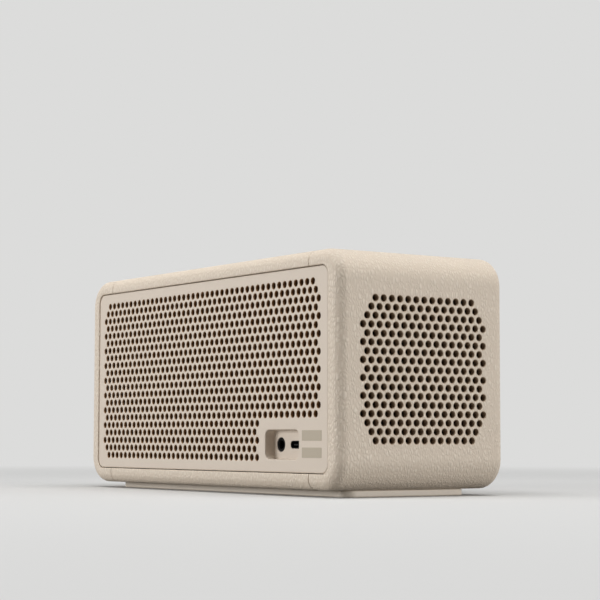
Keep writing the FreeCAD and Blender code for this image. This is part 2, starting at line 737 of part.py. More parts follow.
def woofer(side, turn, sign):
    # Turned pieces about the woofer's axis. Heights run inwards from the flange face
    at = (d.woofer_offset * sign, baffle_back * sign, middle)
    floor_top = d.basket_depth - d.basket_floor
    ledge = floor_top - d.ledge_height
    shoulder = d.rim_radius + d.basket_shoulder
    frame = spin(
        f"{side}_basket",
        [
            (d.rim_radius, 0),
            (d.woofer_radius, 0),
            (d.woofer_radius, d.flange_height),
            (shoulder, d.flange_height),
            (d.basket_radius, floor_top),
            (d.basket_radius, d.basket_depth),
            (d.basket_hole, d.basket_depth),
            (d.basket_hole, floor_top),
            (d.spider_seat, floor_top),
            (d.spider_seat, ledge),
            (d.basket_radius - d.basket_wall, ledge),
            (shoulder - d.basket_wall * 2, d.flange_height),
            (shoulder - d.basket_wall * 2, d.rim_height),
            (d.rim_radius, d.rim_height),
        ],
        turn,
        at,
    )
    window_top = d.flange_height + d.basket_wall
    window_height = ledge - d.basket_wall - window_top
    windows = []
    count = int(number(d.basket_windows))
    for index in range(count):
        window = rod(f"{side}_window_{index}", d.woofer_radius, window_height, at, turn)
        bind(window, "Angle", d.basket_window)
        spun = turns[turn] * Rotation(Vector(0, 0, 1), 360 / count * index)
        start = at[1] + window_top * (1 if sign < 0 else -1)
        window.Placement = Placement(Vector(number(at[0]), number(start), number(at[2])), spun)
        bind(window, "Placement.Base.y", start)
        windows.append(window)
    node(cut(f"{side}_basket_cut", frame, *windows), f"{side}_woofer_frame")
    coil_inner = d.pole_radius + d.coil_gap
    coil_outer = coil_inner + d.coil_wall
    plate_end = d.basket_depth + d.top_plate_wall
    magnet_end = plate_end + d.magnet_wall
    plate_hole = coil_outer + d.coil_gap
    ring(f"{side}_woofer_top_plate", plate_hole, d.plate_radius, d.basket_depth, plate_end, turn, at)
    ring(f"{side}_woofer_magnet", d.magnet_hole, d.magnet_radius, plate_end, magnet_end, turn, at)
    yoke = [
        (0, floor_top),
        (d.pole_radius, floor_top),
        (d.pole_radius, magnet_end),
        (d.plate_radius, magnet_end),
        (d.plate_radius, magnet_end + d.yoke_wall),
        (0, magnet_end + d.yoke_wall),
    ]
    node(spin(f"{side}_yoke", yoke, turn, at), f"{side}_woofer_yoke")
    ring(f"{side}_voice_coil", coil_inner, coil_outer, d.coil_top, d.coil_top + d.coil_length, turn, at)
    cone(side, coil_outer, turn, at)
    surround(side, turn, at)
    spider(side, coil_outer, ledge, turn, at)


def ring(label, inner, outer, low, high, turn, at):
    profile = [(inner, low), (outer, low), (outer, high), (inner, high)]
    node(spin(label + "_turned_ring", profile, turn, at), label)


def cone(side, coil_outer, turn, at):
    rim = d.cone_sink
    neck = rim + d.cone_depth
    inside = coil_outer + d.coil_gap
    flat = d.cone_radius - d.cone_rim
    paper = [
        (flat, rim),
        (d.cone_radius, rim),
        (d.cone_radius, rim + d.cone_wall),
        (flat, rim + d.cone_wall),
        (inside, neck + d.cone_wall),
        (inside, neck),
    ]
    node(spin(f"{side}_cone", paper, turn, at), f"{side}_woofer_cone")
    # The dust cap is a thin spherical cap that stands on the cone
    slope = (neck - rim) / (flat - inside)
    foot = neck - slope * (d.cap_radius - inside) - d.seat_gap
    crown = foot - d.cap_rise
    radius = (d.cap_radius * d.cap_radius / d.cap_rise + d.cap_rise) / 2
    shell = [
        (0, crown),
        (d.cap_radius, foot, radius),
        (d.cap_radius - d.cone_wall, foot),
        (0, crown + d.cone_wall, -(radius - d.cone_wall)),
    ]
    node(spin(f"{side}_cap", shell, turn, at), f"{side}_dust_cap")


def surround(side, turn, at):
    # Half roll of rubber from the cone's rim to the flange
    thick = d.roll_wall
    inner = d.cone_radius - d.cone_rim
    outer = d.woofer_opening - d.cone_wall
    roll = (outer - d.cone_radius) * d.roll_flatness
    inner_roll = (outer - d.cone_radius - thick * 2) * d.roll_flatness
    base = d.cone_sink - thick
    rubber = [
        (inner, base),
        (d.cone_radius, base),
        (outer, base, roll),
        (outer, 0),
        (d.rim_radius - d.seat_gap, 0),
        (d.rim_radius - d.seat_gap, d.rim_height),
        (outer - thick, d.rim_height),
        (outer - thick, base + thick),
        (d.cone_radius + thick, base + thick, -inner_roll),
        (inner, base + thick),
    ]
    node(spin(f"{side}_roll", rubber, turn, at), f"{side}_woofer_surround")


def spider(side, coil_outer, ledge, turn, at):
    # Corrugated cloth disc from the voice coil to its ledge in the basket
    inner = coil_outer + d.seat_gap
    outer = d.basket_radius - d.basket_wall - d.seat_gap
    base = ledge - d.spider_wall
    waves = int(number(d.spider_waves))
    step = (d.spider_seat - inner) / (waves + 1)
    tops = [(inner, base)]
    for index in range(waves):
        crest = base - d.spider_wave if index % 2 == 0 else base
        tops.append((inner + step * (index + 1), crest))
    tops += [(d.spider_seat, base), (outer, base)]
    lower = [(x, y + d.spider_wall) for x, y in reversed(tops)]
    node(spin(f"{side}_spider_disc", tops + lower, turn, at), f"{side}_spider")


def tweeter(side, turn, sign):
    # Flange with a short flare, silk dome and magnet cup
    at = (-d.tweeter_offset * sign, baffle_back * sign, middle + d.tweeter_rise)
    lip = d.dome_radius + d.dome_lip
    seat = d.tweeter_flange
    flange = [
        (d.tweeter_opening, 0),
        (d.tweeter_radius, 0),
        (d.tweeter_radius, seat),
        (lip + d.dome_wall, seat),
        (lip + d.dome_wall, seat - d.dome_wall),
        (d.dome_radius + d.dome_wall, seat - d.dome_wall),
    ]
    node(spin(f"{side}_tweeter_flange", flange, turn, at), f"{side}_tweeter_frame")
    crown = seat - d.dome_wall - d.dome_rise
    radius = (d.dome_radius * d.dome_radius / d.dome_rise + d.dome_rise) / 2
    film = [
        (0, crown),
        (d.dome_radius, seat - d.dome_wall, radius),
        (lip, seat - d.dome_wall),
        (lip, seat),
        (d.dome_radius - d.dome_wall, seat),
        (0, crown + d.dome_wall, -radius),
    ]
    node(spin(f"{side}_tweeter_film", film, turn, at), f"{side}_tweeter_dome")
    width, depth = d.tweeter_magnet_radius, seat + d.tweeter_magnet_depth
    magnet = [(0, seat), (width, seat), (width, depth), (0, depth)]
    node(spin(f"{side}_tweeter_cup", magnet, turn, at), f"{side}_tweeter_magnet")


def radiator(side, turn, sign):
    # Passive radiator: frame on the cabinet's side, rubber roll and weighted plate
    half_x, half_y, corner = d.radiator_width / 2, d.radiator_height / 2, d.radiator_corner
    outline = rounded(half_x, half_y, corner)
    rim = d.radiator_rim
    opening = rounded(half_x - rim, half_y - rim, corner - rim)
    inset = rim + d.radiator_roll
    plate = rounded(half_x - inset, half_y - inset, corner - inset)
    seat = (cabinet_side * sign, 0, middle)
    frame = pad(f"{side}_radiator_ring", [outline, opening], d.radiator_frame_wall, turn, seat)
    node(frame, f"{side}_radiator_frame")
    base = ((cabinet_side + d.radiator_sink) * sign, 0, middle)
    roll = pad(f"{side}_radiator_roll", [opening, plate], d.roll_height, turn, base)
    round_edges(roll, d.radiator_roll / 2 - d.radiator_sink, lambda zs: level(zs, d.roll_height))
    node(roll, f"{side}_radiator_surround")
    weight = pad(f"{side}_radiator_weight", [plate], d.radiator_plate_wall, turn, base)
    node(weight, f"{side}_radiator_plate")


def main_board():
    # Upright board between the woofers, with amplifier chips and chokes soldered on
    half = d.board_depth / 2
    zs = (cabinet_floor + d.seat_gap, cabinet_roof - d.cabinet_wall - d.seat_gap)
    face = d.board_wall / 2
    pieces = [box("board_sheet", (-face, face), (-half, half), zs)]
    for index, y in enumerate((-1, 1)):
        chip_y = d.chip_spread * y
        ys = (chip_y - d.chip_width / 2, chip_y + d.chip_width / 2)
        chip_z = (middle - d.chip_width / 2, middle + d.chip_width / 2)
        pieces.append(box(f"chip_{index}", (face, face + d.chip_height), ys, chip_z))
        at = (-face, chip_y, middle - d.chip_spread)
        pieces.append(rod(f"choke_{index}", d.choke_radius, d.choke_height, at, "out_left"))
    node(fuse("main_board_fused", *pieces), "main_board")


def battery():
    # Two lithium cells side by side in a tray on the cabinet floor
    pitch = d.cell_radius * 2 + d.cell_gap
    wall = d.tray_wall
    length = d.cell_length + d.cell_gap * 2 + wall * 2
    front = -baffle_back + d.tray_setback
    rear = front + pitch * 2 + d.cell_gap + wall * 2
    low = cabinet_floor
    high = low + d.tray_height
    outer = box("tray_block", (d.tray_start, d.tray_start + length), (front, rear), (low, high))
    inner = box(
        "tray_room",
        (d.tray_start + wall, d.tray_start + length - wall),
        (front + wall, rear - wall),
        (low + wall, high),
    )
    node(cut("battery_tray_cut", outer, inner), "battery_tray")
    cells = []
    for index in range(2):
        y = front + wall + d.cell_gap + d.cell_radius + pitch * index
        at = (d.tray_start + wall + d.cell_gap, y, low + wall + d.cell_radius)
        cells.append(rod(f"cell_{index}", d.cell_radius, d.cell_length, at, "out_right"))
    node(group("cell_group", *cells), "battery_cells")


def ports():
    # Audio and charging sockets on a small board, in a sealed cover behind the recess
    board_high = port_height - d.jack_height / 2
    back = recess_back - d.seat_gap
    collar_length = recess_floor - back
    body = box(
        "jack_block",
        (jack_x - d.jack_width / 2, jack_x + d.jack_width / 2),
        (recess_floor - d.jack_length - d.recess_wall, back),
        (board_high, port_height + d.jack_height / 2),
    )
    collar_at = (jack_x, recess_floor, port_height)
    collar = rod("jack_collar", d.jack_ring, collar_length, collar_at, "from_rear")
    bore = rod("jack_bore_cut", d.jack_bore, d.jack_bore_depth, collar_at, "from_rear")
    node(cut("aux_jack_cut", fuse("jack_solid", body, collar), bore), "aux_jack")
    usb_socket(board_high)
    window = d.recess_width / 2 + d.recess_wall + d.baffle_gap + d.port_cover_room
    board_half = window - d.seat_gap
    centre = -recess_middle
    start = baffle_back - d.seat_gap
    sheet_box = box(
        "port_sheet",
        (centre - board_half, centre + board_half),
        (start - d.port_board_depth, start),
        (board_high - d.port_board_wall, board_high),
    )
    node(sheet_box, "port_board")
    inside = port_window(d.baffle_gap + d.port_cover_room)
    outside = port_window(d.baffle_gap + d.port_cover_room + d.port_cover_wall)
    cover = pad("cover_block", [outside], d.port_cover_depth, "from_rear", (0, baffle_back, middle))
    room_depth = d.port_cover_depth - d.port_cover_wall
    room = pad("cover_room", [inside], room_depth, "from_rear", (0, baffle_back, middle))
    node(cut("port_cover_cut", cover, room), "port_cover")


def usb_socket(board_high):
    half_x, half_y = d.usb_width / 2, d.usb_height / 2
    wall = d.usb_wall
    y = -d.recess_drop
    outer = rounded(half_x, half_y, half_y - d.usb_flat, usb_x, y)
    inner = rounded(half_x - wall, half_y - wall, half_y - wall - d.usb_flat, usb_x, y)
    at = (0, recess_floor, middle)
    shell = pad("usb_shell", [outer], d.usb_length, "from_rear", at)
    room = pad("usb_room", [inner], d.usb_length - wall, "from_rear", at)
    back = recess_floor - d.usb_length
    tongue = box(
        "usb_tongue",
        (usb_x - d.tongue_width / 2, usb_x + d.tongue_width / 2),
        (back, recess_floor - d.tongue_back),
        (port_height - d.tongue_height / 2, port_height + d.tongue_height / 2),
    )
    foot = box(
        "usb_foot",
        (usb_x - half_x + half_y, usb_x + half_x - half_y),
        (back, recess_back - d.seat_gap),
        (board_high, port_height - half_y + wall / 2),
    )
    node(fuse("usb_socket_fused", cut("usb_shell_cut", shell, room), tongue, foot), "usb_socket")


def control_board():
    # Board under the top cover, with switches and the posts that carry the knob's gimbal
    half_x, half_y = d.panel_board_length / 2, d.panel_board_width / 2
    zs = (board_top - d.panel_board_wall, board_top)
    pieces = [box("panel_sheet", (-half_x, half_x), (-half_y, half_y), zs)]
    inner = d.gimbal_width / 2 + d.gimbal_room
    half = d.post_wall / 2 + d.pivot_radius
    for index, sign in enumerate((-1, 1)):
        near, far = inner * sign, (inner + d.post_wall) * sign
        ys = (near, far) if sign > 0 else (far, near)
        pieces.append(box(f"post_{index}", (-half, half), ys, (board_top, pivot + half)))
    reach = inner + d.post_wall
    bore = rod("post_bore", d.pivot_radius + d.pivot_gap, reach * 2, (0, reach, pivot), "from_rear")
    for index, x in enumerate((-d.bass_x, -d.treble_x)):
        xs = (x - d.fulcrum_radius, x + d.fulcrum_radius)
        zs = (board_top, pivot - d.fulcrum_radius - d.stem_gap)
        pieces.append(box(f"saddle_{index}", xs, (-half, half), zs))
    node(cut("control_board_cut", fuse("control_board_fused", *pieces), bore), "control_board")


def knob():
    # Gimbal ring, stem and knob of the multi-way control
    half = d.gimbal_width / 2
    inner = half - d.gimbal_rim
    zs = (pivot - d.gimbal_wall / 2, pivot + d.gimbal_wall / 2)
    blank = box("gimbal_block", (-half, half), (-half, half), zs)
    room = box("gimbal_room_cut", (-inner, inner), (-inner, inner), zs)
    bore = rod("gimbal_bore", d.pivot_radius + d.pivot_gap, half * 2, (-half, 0, pivot), "out_right")
    pin_end = half + d.gimbal_room + d.post_wall
    pins = [
        rod("gimbal_pin_rear", d.pivot_radius, pin_end - inner, (0, pin_end, pivot), "from_rear"),
        rod("gimbal_pin_front", d.pivot_radius, pin_end - inner, (0, -pin_end, pivot), "from_front"),
    ]
    ring_cut = cut("gimbal_ring", blank, room, bore)
    node(fuse("knob_gimbal_fused", ring_cut, *pins), "knob_gimbal")
    foot = d.stem_foot / 2
    knob_base = body_top - d.well_depth + d.knob_lift
    knob_top = knob_base + d.knob_height
    stem_top = knob_top - d.knob_top_wall - d.knob_travel_room
    cross = rod("stem_pin", d.pivot_radius, half * 2, (-half, 0, pivot), "out_right")
    foot_heights = (pivot - d.gimbal_wall / 2, under_top - d.lip_room)
    stem_box = box("stem_block", (-foot, foot), (-foot, foot), foot_heights)
    post = rod("stem_post", d.stem_radius, stem_top - pivot, (0, 0, pivot))
    node(fuse("knob_stem_fused", stem_box, post, cross), "knob_stem")
    socket = d.stem_radius + d.stem_gap
    turned = [
        (socket, knob_base),
        (d.knob_radius, knob_base),
        (d.knob_radius, knob_top - d.knob_round),
        (d.knob_radius - d.knob_round, knob_top, d.knob_round),
        (0, knob_top),
        (0, knob_top - d.knob_top_wall),
        (socket, knob_top - d.knob_top_wall),
    ]
    node(spin("control_knob_turned", turned, "up", (0, 0, 0)), "control_knob")


def buttons():
    # Rockers on a round pivot bar, a pairing button and a charge light
    for label, x in (("bass_rocker", -d.bass_x), ("treble_rocker", -d.treble_x)):
        half_x, half_y = d.rocker_length / 2, d.rocker_width / 2
        corner = half_y - d.seam_gap
        outline = rounded(half_x, half_y, corner)
        rise = button_top - lip_base
        cap = pad(f"{label}_cap", [outline], rise, "up", (x, 0, lip_base))
        round_edges(cap, d.button_round, lambda zs: level(zs, rise))
        lip = d.button_lip
        edge = rounded(half_x + lip, half_y + lip, corner + lip)
        flange = pad(f"{label}_lip", [edge], d.lip_height, "up", (x, 0, lip_base))
        bar_at = (x, half_y, pivot)
        pivot_bar = rod(f"{label}_bar", d.fulcrum_radius, d.rocker_width, bar_at, "from_rear")
        web = box(
            f"{label}_web",
            (x - d.fulcrum_radius, x + d.fulcrum_radius),
            (-half_y, half_y),
            (pivot, lip_base),
        )
        node(fuse(f"{label}_fused", cap, flange, pivot_bar, web), label)
    profile = [
        (0, lip_base),
        (d.button_radius + d.button_lip, lip_base),
        (d.button_radius + d.button_lip, lip_top),
        (d.button_radius, lip_top),
        (d.button_radius, button_top - d.button_round),
        (d.button_radius - d.button_round, button_top, d.button_round),
        (0, button_top),
    ]
    node(spin("pair_button_turned", profile, "up", (d.pair_x, 0, 0)), "pair_button")
    half = d.light_width / 2
    bar_shape = rounded(d.light_length / 2, half, half - d.light_gap)
    start = body_top - d.light_depth
    node(pad("charge_light_bar", [bar_shape], d.light_depth, "up", (d.light_x, 0, start)), "charge_light")


skin()
base_plate()
front_grille()
rear_grille()
cloths()
baffles()
cabinet()
seals()
baffle_screws()
woofer("front", "from_front", -1)
woofer("rear", "from_rear", 1)
tweeter("front", "from_front", -1)
tweeter("rear", "from_rear", 1)
radiator("right", "out_right", 1)
radiator("left", "out_left", -1)
main_board()
battery()
ports()
control_board()
knob()
buttons()
doc.recompute()

failed = [obj.Name for obj in doc.Objects if "Invalid" in obj.State or "Error" in obj.State]
broken = [obj.Label for obj in nodes if obj.Shape.isNull() or not obj.Shape.isValid()]
if failed or broken:
    raise RuntimeError(f"failed {failed}, broken {broken}")

os.makedirs("parts", exist_ok=True)
for obj in nodes:
    obj.Shape.exportStep(f"parts/{obj.Label}.step")
    print(obj.Label, len(obj.Shape.Solids), round(obj.Shape.Volume, 1))
print(len(nodes), "nodes")
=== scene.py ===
import json
import math

import bmesh
import bpy
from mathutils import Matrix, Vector
from mathutils.geometry import delaunay_2d_cdt


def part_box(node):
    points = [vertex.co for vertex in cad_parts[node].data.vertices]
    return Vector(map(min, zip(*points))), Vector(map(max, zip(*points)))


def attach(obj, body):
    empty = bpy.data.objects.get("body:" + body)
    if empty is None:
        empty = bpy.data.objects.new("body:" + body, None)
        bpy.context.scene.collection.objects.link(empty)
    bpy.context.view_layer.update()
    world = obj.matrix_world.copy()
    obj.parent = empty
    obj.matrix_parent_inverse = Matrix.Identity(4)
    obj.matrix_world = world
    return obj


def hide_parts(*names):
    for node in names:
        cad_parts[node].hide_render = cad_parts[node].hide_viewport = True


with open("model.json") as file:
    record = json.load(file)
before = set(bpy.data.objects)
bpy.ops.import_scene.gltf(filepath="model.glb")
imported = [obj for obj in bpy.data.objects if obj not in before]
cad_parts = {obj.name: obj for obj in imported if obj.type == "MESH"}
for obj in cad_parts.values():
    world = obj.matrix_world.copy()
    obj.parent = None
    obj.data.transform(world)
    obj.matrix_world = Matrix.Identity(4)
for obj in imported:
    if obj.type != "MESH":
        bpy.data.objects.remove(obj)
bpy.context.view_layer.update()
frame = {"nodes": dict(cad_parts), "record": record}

# Looks of a portable speaker. Shapes are worked out in millimetres and stored in metres.
mm = 0.001
nodes = frame["nodes"]
slotOf = {part["node"]: part["material_slot"] for part in frame["record"]["subparts"]}


def boxOf(node):
    low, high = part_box(node)
    return low / mm, high / mm


# Mesh building: a build holds points, faces and the numbers of the faces that are hole walls
shading = dict(sharpAngle=50, flatWeight=90)
cdt = dict(insideOnly=1, merge=1e-6)    # output and tolerance of the flat fill


def newBuild():
    return {"points": [], "faces": [], "walls": []}


def addLoop(build, points):
    start = len(build["points"])
    build["points"].extend(points)
    return list(range(start, start + len(points)))


def bridge(build, first, second):
    count = len(first)
    for i in range(count):
        j = (i + 1) % count
        build["faces"].append((first[i], first[j], second[j], second[i]))


def stack(build, rings):
    loops = [addLoop(build, ring) for ring in rings]
    for first, second in zip(loops, loops[1:]):
        bridge(build, first, second)
    return loops


def fill(build, border, holes, across):
    # Flat face between a border and convex holes, spanned by two axes
    loops = [border, *holes]
    members = [index for loop in loops for index in loop]
    owner = [number for number, loop in enumerate(loops) for _ in loop]
    flat = [Vector((build["points"][i][across[0]], build["points"][i][across[1]])) for i in members]
    edges = []
    for loop in loops:
        start = len(edges)
        edges += [(start + k, start + (k + 1) % len(loop)) for k in range(len(loop))]
    _, _, triangles, origins, _, _ = delaunay_2d_cdt(flat, edges, [], cdt["insideOnly"], cdt["merge"])
    for triangle in triangles:
        corners = [origins[index][0] for index in triangle]
        owners = {owner[corner] for corner in corners}
        if len(owners) > 1 or 0 in owners:
            build["faces"].append([members[corner] for corner in corners])


def circle(radius, centre=(0, 0), count=24):
    turns = [2 * math.pi * k / count for k in range(count)]
    return [(centre[0] + radius * math.cos(t), centre[1] + radius * math.sin(t)) for t in turns]


def roundedRect(halfU, halfV, radius, centre=(0, 0), steps=8):
    points = []
    for quarter, (su, sv) in enumerate(((1, 1), (-1, 1), (-1, -1), (1, -1))):
        for k in range(steps + 1):
            t = math.pi / 2 * (quarter + k / steps)
            u = su * (halfU - radius) + radius * math.cos(t)
            v = sv * (halfV - radius) + radius * math.sin(t)
            points.append((centre[0] + u, centre[1] + v))
    return points


def rimSteps(size, steps):
    # Quarter round at the mouth of an opening: how much wider, and how deep
    turns = [math.pi / 2 * k / steps for k in range(steps + 1)]
    return [(size * (1 - math.sin(t)), size * (1 - math.cos(t))) for t in turns]


def makePiece(build, name, material, body="housing", replaced=(), wallMaterial=None):
    mesh = bpy.data.meshes.new(name)
    mesh.from_pydata([Vector(point) * mm for point in build["points"]], [], build["faces"])
    work = bmesh.new()
    work.from_mesh(mesh)
    bmesh.ops.recalc_face_normals(work, faces=work.faces)
    work.to_mesh(mesh)
    work.free()
    mesh.polygons.foreach_set("use_smooth", [True] * len(mesh.polygons))
    mesh.set_sharp_from_angle(angle=math.radians(shading["sharpAngle"]))
    piece = bpy.data.objects.new(name, mesh)
    bpy.context.scene.collection.objects.link(piece)
    weighted = piece.modifiers.new("flat faces stay flat", "WEIGHTED_NORMAL")
    weighted.keep_sharp = True
    weighted.weight = shading["flatWeight"]
    mesh.materials.append(material)
    if wallMaterial:
        mesh.materials.append(wallMaterial)
        for number in build["walls"]:
            mesh.polygons[number].material_index = 1
    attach(piece, body)
    if replaced:
        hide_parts(*replaced)
    print(name, len(mesh.polygons), "faces")
    return piece


# Materials

def fromHex(text):
    values = [int(text[i:i + 2], 16) / 255 for i in (1, 3, 5)]
    return [v / 12.92 if v <= 0.04045 else ((v + 0.055) / 1.055) ** 2.4 for v in values] + [1]


def addNode(tree, kind, inputs, **settings):
    node = tree.nodes.new(kind)
    for name, value in settings.items():
        setattr(node, name, value)
    for socket, value in inputs.items():
        if isinstance(value, bpy.types.NodeSocket):
            tree.links.new(value, node.inputs[socket])
        else:
            node.inputs[socket].default_value = value
    return node


def newMaterial(name, **shader):
    # Material with a plain shader, its node tree and its object coordinates
    material = bpy.data.materials.new(name)
    material.use_nodes = True
    tree = material.node_tree
    surface = tree.nodes["Principled BSDF"]
    for socket, value in shader.items():
        surface.inputs[socket.replace("_", " ")].default_value = value
    place = tree.nodes.new("ShaderNodeTexCoord").outputs["Object"]
    return material, tree, surface, place


mixA, mixB, mixOut = 6, 7, 2    # colour sockets of a Mix node


def perMetre(size):
    return 1 / (size * mm)


def dress(tree, surface, height, low, high, relief, roughness, spread=0.08, shade=None):
    # One height pattern roughens and embosses a surface, and tints it unless shade does. Relief in mm
    colour = addNode(tree, "ShaderNodeMix", {
        0: height if shade is None else shade, mixA: fromHex(low), mixB: fromHex(high)}, data_type="RGBA")
    rough = addNode(tree, "ShaderNodeMapRange", {
        "Value": height, "To Min": roughness + spread, "To Max": roughness - spread})
    bump = addNode(tree, "ShaderNodeBump", {"Height": height, "Distance": relief * mm, "Strength": 1.0})
    tree.links.new(colour.outputs[mixOut], surface.inputs["Base Color"])
    tree.links.new(rough.outputs[0], surface.inputs["Roughness"])
    tree.links.new(bump.outputs[0], surface.inputs["Normal"])


siliconeLook = dict(
    # the crease colour is painted shade in the creases; top is the silicone's own colour
    top="#E3D6C5", creaseShade="#D8C9B7",
    pebble=1.35,        # width of a grain pebble
    stretch=0.5,        # pebbles are taller than wide
    scatter=0.75,       # how unevenly they lie
    warp=1.0,           # waver of their outlines
    crown=0.4,          # share of a pebble that is rounded over
    relief=0.17,
    dust=0.45,          # fine tooth of the mould
    dustShare=0.12,
    roughness=0.52,
)


def pebbledSilicone():
    # Moulded silicone with a leather grain: soft pebbles with narrow creases, no gloss. The creases carry
    # painted shade, a darker colour than the pebble tops
    look = siliconeLook
    material, tree, surface, place = newMaterial("pebbled_silicone", IOR=1.42)
    stretched = addNode(tree, "ShaderNodeMapping", {"Vector": place, "Scale": (1, 1, look["stretch"])})
    waver = addNode(tree, "ShaderNodeTexNoise", {
        "Vector": stretched.outputs[0], "Scale": perMetre(look["pebble"] * 2), "Detail": 1})
    centred = addNode(tree, "ShaderNodeVectorMath", {
        0: waver.outputs["Color"], 1: (0.5, 0.5, 0.5)}, operation="SUBTRACT")
    warped = addNode(tree, "ShaderNodeVectorMath", {
        0: centred.outputs[0], 1: [look["pebble"] * look["warp"] * mm] * 3, 2: stretched.outputs[0]},
        operation="MULTIPLY_ADD")
    cells = addNode(tree, "ShaderNodeTexVoronoi", {
        "Vector": warped.outputs[0], "Scale": perMetre(look["pebble"]), "Randomness": look["scatter"]},
        feature="DISTANCE_TO_EDGE")
    dome = addNode(tree, "ShaderNodeMapRange", {
        "Value": cells.outputs["Distance"], "From Min": 0.0, "From Max": look["crown"]},
        interpolation_type="SMOOTHSTEP")
    fine = addNode(tree, "ShaderNodeTexNoise", {
        "Vector": place, "Scale": perMetre(look["dust"]), "Detail": 3})
    height = addNode(tree, "ShaderNodeMath", {
        0: fine.outputs["Fac"], 1: look["dustShare"], 2: dome.outputs[0]}, operation="MULTIPLY_ADD")
    dress(tree, surface, height.outputs[0], look["creaseShade"], look["top"],
          look["relief"], look["roughness"])
    return material


def grained(name, light, dark, grain, relief, roughness, metallic=0.0, ior=1.5, stretch=(1, 1, 1)):
    # A surface with one random grain. Sizes in mm
    material, tree, surface, place = newMaterial(name, Metallic=metallic, IOR=ior)
    stretched = addNode(tree, "ShaderNodeMapping", {"Vector": place, "Scale": stretch})
    noise = addNode(tree, "ShaderNodeTexNoise", {
        "Vector": stretched.outputs[0], "Scale": perMetre(grain), "Detail": 4, "Roughness": 0.6})
    dress(tree, surface, noise.outputs["Fac"], dark, light, relief, roughness)
    return material


def woven(name, light, dark, pitch, relief, roughness, axes):
    # Plain weave in the plane of two axes: rounded threads that cross at the pitch in mm
    material, tree, surface, place = newMaterial(name, Specular_IOR_Level=0.15)
    split = addNode(tree, "ShaderNodeSeparateXYZ", {0: place})
    waves = []
    for axis in axes:
        phase = addNode(tree, "ShaderNodeMath", {
            0: split.outputs[axis], 1: math.pi * perMetre(pitch)}, operation="MULTIPLY")
        wave = addNode(tree, "ShaderNodeMath", {0: phase.outputs[0]}, operation="SINE")
        thread = addNode(tree, "ShaderNodeMath", {0: wave.outputs[0]}, operation="ABSOLUTE")
        waves.append(thread.outputs[0])
    height = addNode(tree, "ShaderNodeMath", {0: waves[0], 1: waves[1]}, operation="MULTIPLY")
    dress(tree, surface, height.outputs[0], dark, light, relief, roughness)
    return material


def turned(name, light, dark, pitch, relief, roughness):
    # Metal turned on a lathe: rings round the upright axis, at the pitch in mm
    material, tree, surface, place = newMaterial(name, Metallic=1.0)
    ringsPerUnit = 20 / (2 * math.pi)   # of a wave texture at scale 1
    rings = addNode(tree, "ShaderNodeTexWave", {
        "Vector": place, "Scale": perMetre(pitch) / ringsPerUnit, "Distortion": 0.4},
        wave_type="RINGS", rings_direction="Z")
    dress(tree, surface, rings.outputs["Fac"], dark, light, relief, roughness)
    return material


# Painted shade on the hole walls: the rim colour at the face darkens to the deep colour at reach mm in
siliconeWall = dict(name="hole_wall_silicone_painted_shade", rim="#BCA78F", deep="#6E5642", reach=3.0)
absWall = dict(name="hole_wall_abs_painted_shade", rim="#A5825B", deep="#7D5939", reach=1.1)
wallGrain = dict(size=0.35, relief=0.015, roughness=0.6)


def shadedHoleWall(look, axis, face):
    # Wall of a small hole, coloured with painted shade: darker than the face at the rim, and darker still
    # with depth
    material, tree, surface, place = newMaterial(look["name"], Specular_IOR_Level=0.2)
    noise = addNode(tree, "ShaderNodeTexNoise", {"Vector": place, "Scale": perMetre(wallGrain["size"])})
    split = addNode(tree, "ShaderNodeSeparateXYZ", {0: place})
    along = addNode(tree, "ShaderNodeMath", {0: split.outputs[axis]}, operation="ABSOLUTE")
    depth = addNode(tree, "ShaderNodeMapRange", {
        "Value": along.outputs[0], "From Min": face * mm, "From Max": (face - look["reach"]) * mm})
    dress(tree, surface, noise.outputs["Fac"], look["rim"], look["deep"], wallGrain["relief"],
          wallGrain["roughness"], shade=depth.outputs[0])
    return material


silicone = pebbledSilicone()
# Spark-eroded ABS: even, dry, a little pinker than the silicone
plastic = grained("spark_textured_abs", "#D9CCBD", "#D2C4B4", grain=0.35, relief=0.02, roughness=0.55)
# Smooth silicone of the buttons: soft sheen, no grain
softSilicone = grained(
    "smooth_silicone", "#D3C7B7", "#CEC1B0", grain=0.8, relief=0.008, roughness=0.5, ior=1.42)
# Printed field on the grille: flat and a shade darker
inkField = grained("printed_ink", "#B7AB98", "#B0A491", grain=0.3, relief=0.004, roughness=0.6)
# Polyester cloth, threads 0.25 mm apart, in two copies painted for how light falls: lit to dark brown
# behind the shallow grilles, shaded to black in the deeper end caps
litGrilleCloth = woven(
    "polyester_cloth", "#614630", "#3B2919", pitch=0.25, relief=0.05, roughness=0.9, axes=("X", "Z"))
shadedCapCloth = woven(
    "polyester_cloth_end_shaded", "#1B1511", "#0A0706", pitch=0.25, relief=0.05, roughness=0.9, axes=("Y", "Z"))
# Black nickel plating on the charging socket: dark, dully mirroring
blackNickel = grained(
    "black_nickel_steel", "#2B2A29", "#1E1D1C", grain=0.6, relief=0.004, roughness=0.5, metallic=1.0)
# Injection moulded black ABS: satin, faintly mottled
blackAbs = grained("black_abs", "#1B1A1A", "#131212", grain=0.4, relief=0.01, roughness=0.42)
